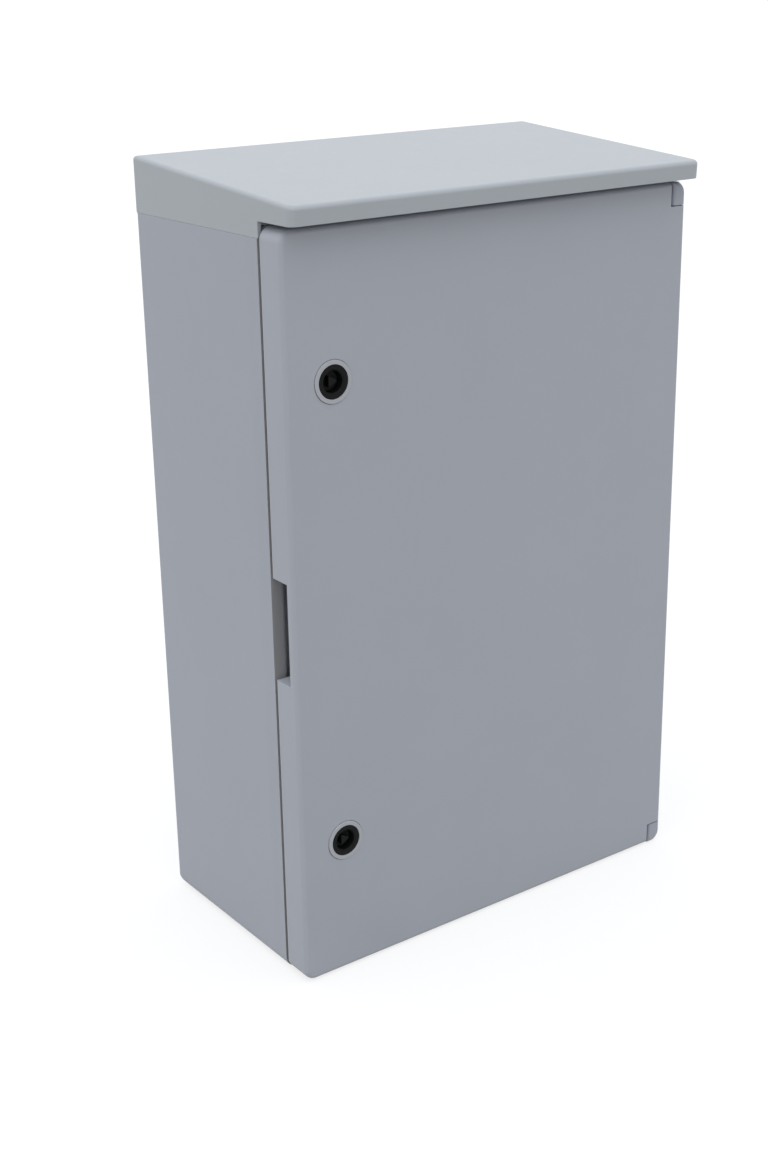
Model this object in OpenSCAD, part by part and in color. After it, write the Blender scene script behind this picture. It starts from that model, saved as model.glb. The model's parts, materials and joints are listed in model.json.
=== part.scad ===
// Wall cabinet for outdoor electrical gear: a moulded tub with a sloping rain hood and a
// door hung on two corner pins, closed by two quarter-turn locks that take a triangular key.
// Inside, distances run from the cabinet's left face, from the door's front face back towards
// the wall, and up from the base. in_frame() then centres the whole on its own footprint.

/* [Cabinet] */
// Width over the side walls
cab_w = 400; // [330:1:600]
// Height of the cabinet and its door, without the hood
cab_h = 610; // [500:1:900]
// Depth from the door's front face to the wall
cab_d = 208; // [165:1:320]
// Thickness of the cabinet's moulded walls
wall = 4; // [3:0.5:6]
// Radius of the corners seen from the front
corner_r = 10; // [8:0.5:14]
// Radius between the base and the back
base_back_r = 18; // [10:1:30]
// Radius of the upright back edges
back_edge_r = 3; // [1:0.5:3.5]

/* [Rim and seal lip] */
// Width of the flat rim seen round the door's edge
rim_flat = 9; // [8:0.5:11]
// Radius that rolls the rim into the gutter
rim_roll_r = 4; // [2:0.5:5]
// Depth of the rim from front to back
rim_d = 11; // [9:0.5:14]
// Depth of the rain gutter behind the rim's face
gutter_d = 8; // [5:0.5:8]
// Width of the gutter along the lock side, the top and the base
gutter_w = 5; // [4:0.5:6]
// Thickness of the lip that meets the door's seal
lip_t = 3; // [2:0.5:4]

/* [Door] */
// Thickness of the door's panel
door_t = 3.5; // [3:0.5:5]
// Thickness of the skirt round the door
skirt_t = 3; // [2:0.5:4]
// Depth of the door from its face to the skirt's back edge
skirt_d = 27; // [22:0.5:33]
// Radius between the door's face and its skirt
face_edge_r = 4; // [3.5:0.5:7]
// Gap between the skirt and the cabinet's rim
shut_gap = 3; // [2.5:0.5:5]
// Gap under the door, so that the cabinet alone stands on its base
door_lift = 1; // [0.5:0.5:3]
// Height of the finger cut-out in the door's edge
finger_h = 84; // [70:1:120]
// Height of the cut-out's lower ledge above the base
finger_z = 261; // [200:1:300]
// Depth of the door's face left in front of the cut-out
finger_y = 8; // [6:0.5:10]

/* [Door seal] */
// Width of the seal
seal_w = 10; // [8:0.5:12]
// Thickness of the seal
seal_t = 6.5; // [4:0.5:8]
// Thickness of the ribs that hold the seal
rib_t = 2; // [1.5:0.5:2.5]
// How far those ribs stand above the seal
rib_over = 3; // [1:0.5:4]

/* [Hinge] */
// Width of the corner lugs that carry the hinge pins
lug_w = 14; // [13:0.5:17]
// Height of the corner lugs
lug_h = 19; // [16:1:28]
// Gap beside each lug
lug_side_gap = 2.5; // [2.5:0.25:4]
// Gap between each lug and the door's ledge
lug_end_gap = 0.8; // [0.8:0.2:3]
// Distance of the hinge axis behind the door's face
hinge_y = 7.5; // [7:0.5:8]
// Diameter of the hinge pins
hinge_pin_d = 6; // [4:0.5:7]
// Depth of each pin in the door
hinge_pin_reach = 22; // [15:1:30]
// Outside diameter of the door's hinge barrels
barrel_d = 13; // [11:0.5:13]

/* [Locks] */
// Distance of the locks from the door's free edge
lock_x = 42; // [42:0.5:60]
// Distance of the upper lock from the cabinet's top
upper_lock_end = 114; // [90:1:160]
// Distance of the lower lock from the cabinet's base
lower_lock_end = 118.5; // [90:0.5:160]
// Diameter of the pale ring round each lock
bezel_d = 33; // [31:0.5:36]
// Height of that ring above the door's face
bezel_rise = 0.8; // [0.4:0.1:1.5]
// Diameter of the lock's black face
lock_face_d = 26; // [24.5:0.5:28]
// Diameter of the lock's threaded barrel
lock_barrel_d = 22; // [20:0.5:22]
// Diameter of the well round the key pin
well_d = 17; // [16:0.5:18]
// Depth of that well
well_depth = 8; // [6:0.5:12]
// Side of the triangular key pin
key_side = 9.6; // [8:0.1:11]
// Distance across the flats of the nut
nut_af = 27; // [25:0.5:27]
// Reach of the cam from the lock's axis
cam_reach = 33; // [32:0.5:35]
// Width of the cam
cam_w = 16; // [12:0.5:18]
// Thickness of the cam's strip
cam_t = 3; // [2:0.5:4]

/* [Rain hood] */
// How far the hood reaches in front of the door
hood_over = 15.3; // [8:0.1:30]
// Height of the hood's roof above the cabinet at the back
hood_rise_back = 35.5; // [30:0.5:60]
// Height of the hood's roof above the cabinet at the front
hood_rise_front = 18; // [14:0.5:26]
// Height of the front lip's lower edge above the cabinet
hood_lip_clear = 3.5; // [3:0.5:6]
// How far the hood's sides come down over the cabinet
hood_lap = 8.4; // [6:0.2:9]
// Thickness of the hood's walls
hood_t = 3; // [2:0.5:3.5]
// Radius of the hood's front corners
hood_corner_r = 7; // [5:0.5:20]
// Radius along the edges of the roof
hood_edge_r = 3.5; // [3.5:0.5:7]

/* [Wall fixing] */
// Distance between the wall holes across
wall_holes_x = 344; // [250:1:344]
// Distance between the wall holes up and down
wall_holes_z = 554; // [400:1:554]
// Diameter of the wall holes
wall_hole_d = 8.5; // [6:0.5:12]

/* [Inside] */
// Thickness of the mounting plate
plate_t = 2.5; // [1.5:0.5:5]
// Margin between the plate's edges and the cabinet's outer faces
plate_margin = 46; // [42:1:60]
// Length of the posts that carry the plate
post_l = 12; // [8:1:25]
// Width of the cable opening in the base
entry_w = 220; // [120:1:240]
// Depth of the cable opening in the base
entry_d = 90; // [50:1:95]

/* [Hidden] */
// Running clearance of a pin in its bore, on the radius
run = 0.05;
// Clearance round a screw's thread or a pressed pin, on the radius
fit = 0.02;
// Clearance of a hole that a screw or a barrel passes through, on the radius
loose = 0.25;
// Gap between the seal and what it meets
soft_gap = 0.3;
// Gap between the hood's sides and the cabinet
hood_gap = 0.3;
$fn = 96;

rim_y = skirt_d + shut_gap;
rim_back_y = rim_y + rim_d;
gutter_in = rim_flat + rim_roll_r;
lip_in = gutter_in + gutter_w;
lip_y = door_t + seal_t + soft_gap;
hinge_u = lug_w / 2;
notch_w = lug_w + lug_side_gap;
notch_h = lug_h + lug_end_gap;
// The back corner of the ledge beside each notch swings on this radius, and the hinge side's
// lip stands outside it
swing_r = norm([notch_w + skirt_t - hinge_u, skirt_d - hinge_y]);
swing_clear = 0.8;
lip_hinge_in = hinge_u + swing_r + swing_clear;
seal_in = lip_in + lip_t / 2 - seal_w / 2;
seal_hinge_in = lip_hinge_in + lip_t / 2 - seal_w / 2;
rib_y = door_t + seal_t + rib_over;
seal_inner_r = 4;
finger_in = seal_in - rib_t;
upper_lock_z = cab_h - upper_lock_end;
lower_lock_z = lower_lock_end;
back_y = cab_d;
hinge_x = cab_w - hinge_u;
lug_edge_r = 3;
barrel_wall_end = 6;
pin_head_d = 9;
pin_head_h = 2;
pin_head_sink = 0.5;

// Lock stack, as distances behind the door's face
bezel_seat_y = 2;
lock_seal_t = 0.8;
bezel_back_y = bezel_seat_y - lock_seal_t;
bezel_floor_y = 0.5;
bezel_gap = 0.3;
bezel_edge = 0.5;
lock_face_y = -0.6;
boss_back_y = 6;
boss_margin = 0.5;
lock_chamfer = 0.7;
nut_t = 6;
lock_barrel_y = 24;
key_front_y = 2;
core_disc_t = 1.5;
core_disc_d = well_d - 0.6;
core_shaft_d = 12;
cam_y = lock_barrel_y + 3;
cam_sq = 8;
cam_sq_gap = 0.1;
keeper_t = 2.5;
cam_gap = 0.5;
cam_tip_y = rim_back_y + keeper_t + cam_gap;
crank_r = 14;
cam_tail = 9;
cam_screw_d = 6;
cam_screw_l = 10;
cam_screw_head_d = 13;
cam_screw_head_h = 4;

keeper_h = 44;
keeper_screw_x = 8.5;
keeper_screw_dz = 16;
keeper_screw_d = 4;
keeper_screw_l = 7;
keeper_margin = 0.5;
keeper_corner_r = 2;

hood_slope = atan((hood_rise_back - hood_rise_front) / (cab_d + hood_over));
// Virtual corner of the roof, placed so that its rounded front edge reaches hood_over
roof_front_y = -hood_over - hood_edge_r * (cos(hood_slope) + sin(hood_slope) - 1);
// The hood's sides start midway between the door's skirt and the cabinet's rim
hood_skirt_y = (skirt_d + rim_y) / 2;
step_z = cab_h - hood_lap - hood_gap;
step_in = hood_t + hood_gap;
step_chamfer = 0.3;
baffle_y = rim_y + 0.5;
hood_post_side_in = 60;
hood_post_front_y = 60;
hood_post_back_in = 38;
hood_post_d = 11;
// How much of the wall's thickness the inner edges of the roof lose from their radius
hood_edge_share = 0.6;
hood_screw_d = 5;
hood_screw_l = 14;
hood_screw_head_h = 3;

post_d = 16;
post_in = 14;
plate_corner_r = 6;
plate_screw_d = 6;
plate_screw_l = 10;
plate_screw_head_h = 3.5;
plate_back_y = back_y - wall - post_l;
plate_front_y = plate_back_y - plate_t;

entry_seal_t = 1.5;
entry_plate_t = 2;
entry_lap = 12;
entry_corner_r = 6;
entry_screw_d = 4;
entry_screw_bite = 2.5;
entry_screw_head_h = 2.4;
entry_y = (rim_back_y + plate_front_y) / 2;
entry_rows = [-1, 0, 1];

dark_grey = [0.40, 0.41, 0.42];
shell_grey = [0.60, 0.61, 0.63];
hood_grey = [0.70, 0.72, 0.74];
bezel_grey = [0.66, 0.67, 0.68];
lock_black = [0.10, 0.10, 0.10];
seal_black = [0.14, 0.14, 0.15];
zinc = [0.74, 0.75, 0.77];
steel = [0.66, 0.67, 0.69];

// ---------- Frame and drawing planes ----------

// Centres the footprint on the origin, with the base at height 0
module in_frame() {
    translate([-cab_w / 2, (hood_over - cab_d) / 2, 0]) children();
}

// Draws in x and z, and extrudes from y0 back to y1
module along_y(y0, y1) {
    translate([0, y1, 0]) rotate([90, 0, 0]) linear_extrude(y1 - y0) children();
}

// Draws in y and z, and extrudes from x0 to x1
module along_x(x0, x1) {
    translate([x0, 0, 0]) rotate([90, 0, 90]) linear_extrude(x1 - x0) children();
}

// Puts a turned solid's own z axis along y, starting at y0
module turned_y(x, y0, z) {
    translate([x, y0, z]) rotate([-90, 0, 0]) children();
}

// Cylinder from y0 back to y1
module rod_y(x, z, y0, y1, d) {
    turned_y(x, y0, z) cylinder(d = d, h = y1 - y0);
}

// Cylinder from z0 up to z1
module rod_z(x, y, z0, z1, d) {
    translate([x, y, z0]) cylinder(d = d, h = z1 - z0);
}

module block(x0, x1, y0, y1, z0, z1) {
    translate([x0, y0, z0]) cube([x1 - x0, y1 - y0, z1 - z0]);
}

// Rectangle with round corners, from [x0, z0] to [x1, z1]
module round_rect(x0, x1, z0, z1, r) {
    translate([x0 + r, z0]) square([x1 - x0 - 2 * r, z1 - z0]);
    translate([x0, z0 + r]) square([x1 - x0, z1 - z0 - 2 * r]);
    for (x = [x0 + r, x1 - r], z = [z0 + r, z1 - r]) translate([x, z]) circle(r);
}

// Outline that keeps the same distance from the lock side, the top and the base, and its
// own distance from the hinge side
module seal_outline(side_in, hinge_in, r) {
    round_rect(side_in, cab_w - hinge_in, side_in, cab_h - side_in, r);
}

// Rectangle whose two corners on the first axis's low side are round
module front_round(depth, width, r) {
    translate([r, 0]) square([depth - r, width]);
    translate([0, r]) square([depth, width - 2 * r]);
    for (z = [r, width - r]) translate([r, z]) circle(r);
}

// Slab w wide, h high and d deep, with round corners and a round edge to its front face
module cushioned_slab(w, h, d, r, edge_r) {
    along_x(r, w - r) front_round(d, h, edge_r);
    translate([0, 0, r]) linear_extrude(h - 2 * r) mirror([1, -1]) front_round(d, w, edge_r);
    for (x = [r, w - r], z = [r, h - r]) turned_y(x, 0, z) rotate_extrude() {
        square([r - edge_r, d]);
        translate([0, edge_r]) square([r, d - edge_r]);
        intersection() {
            translate([r - edge_r, edge_r]) circle(edge_r);
            square([r, d]);
        }
    }
}

// ---------- Cabinet ----------

// The tub's form, grown smaller by inset, from the rim to the back
module tub_form(inset, y0) {
    far = back_y - inset;
    base_r = base_back_r - inset;
    edge_r = max(back_edge_r - inset, 0.5);
    intersection() {
        along_y(y0, far) round_rect(inset, cab_w - inset, inset, cab_h - inset, corner_r - inset);
        along_x(0, cab_w) {
            translate([y0, inset + base_r]) square([far - y0, cab_h]);
            translate([y0, inset]) square([far - y0 - base_r, cab_h]);
            translate([far - base_r, inset + base_r]) circle(base_r);
        }
        linear_extrude(cab_h) {
            translate([inset, y0]) square([cab_w - 2 * inset, far - y0 - edge_r]);
            translate([inset + edge_r, y0]) square([cab_w - 2 * (inset + edge_r), far - y0]);
            for (x = [inset + edge_r, cab_w - inset - edge_r]) translate([x, far - edge_r]) circle(edge_r);
        }
    }
}

// Rounds the rim's inner edge, so that water rolls into the gutter
module rim_roll() {
    roll_corner = corner_r - rim_roll_r;
    near = gutter_in + roll_corner;
    module roll_profile() {
        difference() {
            translate([-rim_roll_r, -1]) square([rim_roll_r + 1, rim_roll_r + 1]);
            translate([-rim_roll_r, rim_roll_r]) circle(rim_roll_r);
        }
    }
    for (side = [0, 1]) {
        translate([side * cab_w, rim_y, near]) mirror([side, 0, 0])
            linear_extrude(cab_h - 2 * near) translate([gutter_in, 0]) roll_profile();
        translate([near, rim_y, side * cab_h]) mirror([0, 0, side])
            along_x(0, cab_w - 2 * near) mirror([1, -1]) translate([gutter_in, 0]) roll_profile();
    }
    for (x = [near, cab_w - near], z = [near, cab_h - near]) turned_y(x, rim_y, z)
        rotate_extrude() translate([roll_corner, 0]) mirror([1, 0]) roll_profile();
}

module rim() {
    difference() {
        along_y(rim_y, rim_back_y) round_rect(0, cab_w, 0, cab_h, corner_r);
        along_y(rim_y - 1, rim_y + gutter_d) seal_outline(gutter_in, gutter_in, corner_r - rim_roll_r);
        along_y(rim_y, rim_back_y + 1) seal_outline(lip_in + lip_t, lip_hinge_in + lip_t, corner_r - lip_t);
        rim_roll();
    }
}

module seal_lip() {
    difference() {
        along_y(lip_y, rim_back_y) seal_outline(lip_in, lip_hinge_in, corner_r);
        along_y(lip_y - 1, rim_back_y + 1)
            seal_outline(lip_in + lip_t, lip_hinge_in + lip_t, corner_r - lip_t);
    }
}

// Corner block that carries a hinge pin, shaped to the door's own corner
module hinge_lugs() {
    intersection() {
        cushioned_slab(cab_w, cab_h, rim_y + 1, corner_r, face_edge_r);
        translate([cab_w - lug_w, 0, 0]) linear_extrude(cab_h) {
            translate([lug_edge_r, 0]) square([lug_w, rim_y + 1]);
            translate([0, lug_edge_r]) square([lug_w, rim_y + 1]);
            translate([lug_edge_r, lug_edge_r]) circle(lug_edge_r);
        }
        union() {
            block(0, cab_w, -1, rim_y + 1, 0, lug_h);
            block(0, cab_w, -1, rim_y + 1, cab_h - lug_h, cab_h);
        }
    }
}

// Step round the top that the hood's sides close over, with its edge broken
module hood_step() {
    difference() {
        block(-1, cab_w + 1, hood_skirt_y - 1, back_y + 1, step_z, cab_h + 1);
        block(step_in, cab_w - step_in, 0, back_y - step_in, step_z - 1, cab_h + 2);
    }
    for (side = [0, 1]) translate([side * cab_w, 0, 0]) mirror([side, 0, 0])
        along_y(hood_skirt_y - 1, back_y + 1) translate([0, step_z])
            polygon([[-step_chamfer, -2 * step_chamfer], [2 * step_chamfer, step_chamfer],
                     [-step_chamfer, step_chamfer]]);
}

function wall_hole_places() = [for (sx = [-1, 1], sz = [-1, 1])
    [cab_w / 2 + sx * wall_holes_x / 2, cab_h / 2 + sz * wall_holes_z / 2]];

function post_places() = [for (x = [plate_margin + post_in, cab_w - plate_margin - post_in],
                               z = [plate_margin + post_in, cab_h - plate_margin - post_in]) [x, z]];

function hood_post_places() = [for (x = [hood_post_side_in, cab_w - hood_post_side_in],
                                    y = [hood_post_front_y, cab_d - hood_post_back_in]) [x, y]];

function keeper_screw_places() = [for (z = [upper_lock_z, lower_lock_z], s = [-1, 1])
    [keeper_screw_x, z + s * keeper_screw_dz]];

function entry_screw_places() = [for (i = entry_rows, s = [-1, 1])
    [cab_w / 2 + i * (entry_w / 2 - entry_lap), entry_y + s * (entry_d / 2 + entry_lap / 2)]];

module cabinet_shell() {
    color(shell_grey) in_frame() difference() {
        union() {
            difference() {
                tub_form(0, rim_y);
                tub_form(wall, rim_y - 1);
            }
            rim();
            seal_lip();
            hinge_lugs();
            for (p = post_places()) rod_y(p[0], p[1], plate_back_y, back_y - wall + 1, post_d);
        }
        hood_step();
        for (p = wall_hole_places()) rod_y(p[0], p[1], back_y - wall - 1, back_y + 1, wall_hole_d);
        for (p = post_places())
            rod_y(p[0], p[1], plate_back_y - 1, plate_front_y + plate_screw_l + 1, plate_screw_d + 2 * fit);
        for (p = hood_post_places())
            rod_z(p[0], p[1], cab_h - wall - 1, cab_h + 1, hood_screw_d + 2 * loose);
        for (p = keeper_screw_places())
            rod_y(p[0], p[1], rim_back_y - keeper_screw_l - 1, rim_back_y + 1, keeper_screw_d + 2 * fit);
        translate([0, 0, -1]) linear_extrude(wall + 2) entry_outline(0);
        for (p = entry_screw_places())
            rod_z(p[0], p[1], wall - entry_screw_bite - 0.5, wall + 1, entry_screw_d + 2 * fit);
        upper_pin_bore();
        lower_pin_bore();
    }
}

module upper_pin_bore() {
    rod_z(hinge_x, hinge_y, cab_h - lug_h - 1, cab_h + 1, hinge_pin_d + 2 * fit);
    rod_z(hinge_x, hinge_y, cab_h - pin_head_h - pin_head_sink, cab_h + 1, pin_head_d + 2 * run);
}

module lower_pin_bore() {
    translate([0, 0, cab_h]) mirror([0, 0, 1]) upper_pin_bore();
}

module upper_pin() {
    top = cab_h - pin_head_sink;
    rod_z(hinge_x, hinge_y, cab_h - notch_h - hinge_pin_reach, top, hinge_pin_d);
    rod_z(hinge_x, hinge_y, top - pin_head_h, top, pin_head_d);
}

module upper_hinge_pin() {
    color(steel) in_frame() upper_pin();
}

module lower_hinge_pin() {
    color(steel) in_frame() translate([0, 0, cab_h]) mirror([0, 0, 1]) upper_pin();
}

// ---------- Hood ----------

// The roof and its falling edges, grown smaller by inset, open below
module hood_form(inset) {
    roof_l = (cab_d + hood_over) / cos(hood_slope) + 2 * hood_corner_r;
    drop = hood_rise_back + hood_lap + 2 * hood_corner_r;
    top_r = min(hood_edge_r - inset * hood_edge_share, hood_corner_r - inset);
    intersection() {
        translate([0, roof_front_y, cab_h + hood_rise_front]) rotate([hood_slope - 90, 0, 0])
            translate([inset, inset, inset])
                cushioned_slab(cab_w - 2 * inset, roof_l, drop, hood_corner_r - inset, top_r);
        along_x(0, cab_w) hood_side(inset);
    }
}

// Side view of the hood: the back's upper corner is round, and the lower edge steps up
// where the hood leaves the cabinet
module hood_side(inset) {
    far = back_y - inset;
    low = cab_h - hood_lap - inset;
    top = cab_h + hood_rise_back + 1;
    turn = hood_edge_r - inset * hood_edge_share;
    turn_z = cab_h + hood_rise_back - inset - turn * (1 + tan(hood_slope));
    translate([hood_skirt_y + inset, low]) square([far - turn - hood_skirt_y - inset, top - low]);
    translate([hood_skirt_y + inset, low]) square([far - hood_skirt_y - inset, turn_z - low]);
    translate([far - turn, turn_z]) circle(turn);
    translate([-hood_over - 1, cab_h + hood_lip_clear - inset])
        square([hood_skirt_y + hood_over + 2 + inset, top - cab_h]);
}

module rain_hood() {
    color(hood_grey) in_frame() difference() {
        union() {
            difference() {
                hood_form(0);
                hood_form(hood_t);
                block(hood_t, cab_w - hood_t, hood_skirt_y - 1, hood_skirt_y + hood_t + 1,
                      cab_h - hood_lap - 1, cab_h + hood_lip_clear + 1);
            }
            intersection() {
                hood_form(hood_t / 2);
                union() {
                    block(0, cab_w, baffle_y, baffle_y + hood_t, cab_h, cab_h + hood_rise_back);
                    for (p = hood_post_places())
                        rod_z(p[0], p[1], cab_h, cab_h + hood_rise_back, hood_post_d);
                }
            }
        }
        for (p = hood_post_places())
            rod_z(p[0], p[1], cab_h - 1, cab_h - wall + hood_screw_l + 1, hood_screw_d + 2 * fit);
    }
}

module hood_screws() {
    color(zinc) in_frame() for (p = hood_post_places()) {
        rod_z(p[0], p[1], cab_h - wall - 0.5, cab_h - wall + hood_screw_l, hood_screw_d);
        rod_z(p[0], p[1], cab_h - wall - hood_screw_head_h, cab_h - wall, 2 * hood_screw_d);
    }
}

// ---------- Fittings inside ----------

module mounting_plate() {
    color(zinc) in_frame() difference() {
        along_y(plate_front_y, plate_back_y)
            round_rect(plate_margin, cab_w - plate_margin, plate_margin, cab_h - plate_margin,
                       plate_corner_r);
        for (p = post_places())
            rod_y(p[0], p[1], plate_front_y - 1, plate_back_y + 1, plate_screw_d + 2 * loose);
    }
}

module mounting_plate_screws() {
    color(steel) in_frame() for (p = post_places()) {
        rod_y(p[0], p[1], plate_front_y - 0.5, plate_front_y + plate_screw_l, plate_screw_d);
        rod_y(p[0], p[1], plate_front_y - plate_screw_head_h, plate_front_y, 2 * plate_screw_d);
    }
}

// Head of a countersunk screw whose flat top lies at y0
module sunk_head(x, z, y0, d, extra) {
    turned_y(x, y0, z) mirror([0, 0, 1])
        cylinder(d1 = 2 * d + 2 * extra, d2 = d + 2 * extra, h = d / 2);
}

// Steel strip behind the rim that the lock's cam closes on
module keeper(z) {
    color(zinc) in_frame() difference() {
        along_y(rim_back_y, rim_back_y + keeper_t)
            round_rect(wall + keeper_margin, lip_in + lip_t - keeper_margin,
                       z - keeper_h / 2, z + keeper_h / 2, keeper_corner_r);
        for (s = [-1, 1]) {
            rod_y(keeper_screw_x, z + s * keeper_screw_dz, rim_back_y - 1, rim_back_y + keeper_t + 1,
                  keeper_screw_d + 2 * run);
            sunk_head(keeper_screw_x, z + s * keeper_screw_dz, rim_back_y + keeper_t,
                      keeper_screw_d, run);
        }
    }
}

module upper_keeper() {
    keeper(upper_lock_z);
}

module lower_keeper() {
    keeper(lower_lock_z);
}

module keeper_screws() {
    color(steel) in_frame() for (p = keeper_screw_places()) {
        rod_y(p[0], p[1], rim_back_y - keeper_screw_l, rim_back_y + keeper_t, keeper_screw_d);
        sunk_head(p[0], p[1], rim_back_y + keeper_t, keeper_screw_d, 0);
    }
}

module entry_outline(grow) {
    round_rect((cab_w - entry_w) / 2 - grow, (cab_w + entry_w) / 2 + grow,
               entry_y - entry_d / 2 - grow, entry_y + entry_d / 2 + grow, entry_corner_r);
}

module gland_plate_seal() {
    color(seal_black) in_frame() difference() {
        translate([0, 0, wall]) linear_extrude(entry_seal_t) difference() {
            entry_outline(entry_lap);
            entry_outline(0);
        }
        for (p = entry_screw_places())
            rod_z(p[0], p[1], wall - 1, wall + entry_seal_t + 1, entry_screw_d + 4 * loose);
    }
}

module gland_plate() {
    low = wall + entry_seal_t;
    color(dark_grey) in_frame() difference() {
        translate([0, 0, low]) linear_extrude(entry_plate_t) entry_outline(entry_lap);
        for (p = entry_screw_places())
            rod_z(p[0], p[1], low - 1, low + entry_plate_t + 1, entry_screw_d + 2 * loose);
    }
}

module gland_plate_screws() {
    seat = wall + entry_seal_t + entry_plate_t;
    color(steel) in_frame() for (p = entry_screw_places()) {
        rod_z(p[0], p[1], wall - entry_screw_bite, seat + 0.5, entry_screw_d);
        rod_z(p[0], p[1], seat, seat + entry_screw_head_h, 2 * entry_screw_d);
    }
}

// ---------- Door ----------

module door_tray() {
    difference() {
        translate([0, 0, door_lift])
            cushioned_slab(cab_w, cab_h - door_lift, skirt_d, corner_r, face_edge_r);
        translate([skirt_t, door_t, door_lift + skirt_t])
            cushioned_slab(cab_w - 2 * skirt_t, cab_h - door_lift - 2 * skirt_t, skirt_d,
                           corner_r - skirt_t, max(face_edge_r - skirt_t, 0.5));
    }
}

// Walls that close the door round both hinge corners
module notch_walls() {
    intersection() {
        union() {
            for (z = [[0, notch_h + skirt_t], [cab_h - notch_h - skirt_t, cab_h]])
                block(cab_w - notch_w - skirt_t, cab_w, door_t / 2, skirt_d, z[0], z[1]);
        }
        translate([0, 0, door_lift])
            cushioned_slab(cab_w, cab_h - door_lift, skirt_d, corner_r, face_edge_r);
    }
}

module notches() {
    block(cab_w - notch_w, cab_w + 1, -1, skirt_d + 1, -1, notch_h);
    block(cab_w - notch_w, cab_w + 1, -1, skirt_d + 1, cab_h - notch_h, cab_h + 1);
}

// Two ribs that hold the seal between them
module seal_ribs() {
    along_y(door_t / 2, rib_y) {
        difference() {
            seal_outline(seal_in - rib_t, seal_hinge_in - rib_t, corner_r);
            seal_outline(seal_in, seal_hinge_in, corner_r - rib_t);
        }
        difference() {
            seal_outline(seal_in + seal_w, seal_hinge_in + seal_w, seal_inner_r);
            seal_outline(seal_in + seal_w + rib_t, seal_hinge_in + seal_w + rib_t,
                         seal_inner_r - rib_t);
        }
    }
}

// Ledges above and below the finger cut-out
module finger_ledges() {
    for (z = [finger_z - skirt_t, finger_z + finger_h])
        block(skirt_t / 2, finger_in + rib_t, door_t / 2, skirt_d, z, z + skirt_t);
}

// Equal rods up from the lower notch and down from the upper one, each from start to end
module hinge_rods(start, end, d) {
    rod_z(hinge_x, hinge_y, notch_h + start, notch_h + end, d);
    rod_z(hinge_x, hinge_y, cab_h - notch_h - end, cab_h - notch_h - start, d);
}

module door_panel() {
    color(shell_grey) in_frame() difference() {
        union() {
            door_tray();
            notch_walls();
            seal_ribs();
            finger_ledges();
            hinge_rods(0, hinge_pin_reach + barrel_wall_end, barrel_d);
            for (z = [upper_lock_z, lower_lock_z])
                rod_y(lock_x, z, door_t / 2, boss_back_y, bezel_d + 2 * boss_margin);
        }
        notches();
        block(-1, finger_in, finger_y, skirt_d + 1, finger_z, finger_z + finger_h);
        hinge_rods(-1, hinge_pin_reach + 1, hinge_pin_d + 2 * run);
        for (z = [upper_lock_z, lower_lock_z]) {
            rod_y(lock_x, z, -1, bezel_seat_y, bezel_d + 2 * bezel_gap);
            rod_y(lock_x, z, 0, boss_back_y + 1, lock_barrel_d + 2 * loose);
        }
    }
}

module door_seal() {
    color(seal_black) in_frame() along_y(door_t, door_t + seal_t) difference() {
        seal_outline(seal_in + soft_gap, seal_hinge_in + soft_gap, corner_r - rib_t - soft_gap);
        seal_outline(seal_in + seal_w - soft_gap, seal_hinge_in + seal_w - soft_gap,
                     seal_inner_r + soft_gap);
    }
}

// ---------- Locks ----------

// Ring turned round a lock's axis: children draw its section, with y as the distance
// behind the door's face
module lock_turned(z) {
    turned_y(lock_x, 0, z) rotate_extrude() children();
}

module lock_bezel(z) {
    inner = lock_barrel_d / 2 + loose;
    outer = bezel_d / 2;
    recess = lock_face_d / 2 + bezel_gap / 2;
    color(bezel_grey) in_frame() lock_turned(z) {
        translate([inner, bezel_floor_y]) square([outer - inner, bezel_back_y - bezel_floor_y]);
        translate([recess, bezel_edge - bezel_rise])
            square([outer - recess, bezel_back_y + bezel_rise - bezel_edge]);
        translate([recess, -bezel_rise]) square([outer - bezel_edge - recess, 2 * bezel_edge]);
        translate([outer - bezel_edge, bezel_edge - bezel_rise]) circle(bezel_edge);
    }
}

module upper_lock_bezel() {
    lock_bezel(upper_lock_z);
}

module lower_lock_bezel() {
    lock_bezel(lower_lock_z);
}

module lock_seal(z) {
    color(seal_black) in_frame() lock_turned(z)
        translate([lock_barrel_d / 2 + 2 * loose, bezel_back_y])
            square([(bezel_d - lock_barrel_d) / 2 - 4 * loose, lock_seal_t]);
}

module upper_lock_seal() {
    lock_seal(upper_lock_z);
}

module lower_lock_seal() {
    lock_seal(lower_lock_z);
}

module lock_housing(z) {
    core_r = core_shaft_d / 2 + run;
    color(lock_black) in_frame() lock_turned(z) difference() {
        union() {
            translate([core_r, lock_face_y])
                square([lock_face_d / 2 - core_r, bezel_floor_y - lock_face_y]);
            translate([core_r, 0]) square([lock_barrel_d / 2 - core_r, lock_barrel_y]);
        }
        translate([0, lock_face_y - 1]) square([well_d / 2, well_depth - lock_face_y + 1]);
        for (r = [well_d / 2, lock_face_d / 2])
            translate([r, lock_face_y]) rotate(45) square(lock_chamfer, center = true);
    }
}

module upper_lock_housing() {
    lock_housing(upper_lock_z);
}

module lower_lock_housing() {
    lock_housing(lower_lock_z);
}

module lock_nut(z) {
    color(zinc) in_frame() difference() {
        turned_y(lock_x, boss_back_y, z) rotate(30)
            cylinder(r = nut_af / 2 / cos(30), h = nut_t, $fn = 6);
        rod_y(lock_x, z, boss_back_y - 1, boss_back_y + nut_t + 1, lock_barrel_d + 2 * fit);
    }
}

module upper_lock_nut() {
    lock_nut(upper_lock_z);
}

module lower_lock_nut() {
    lock_nut(lower_lock_z);
}

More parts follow.
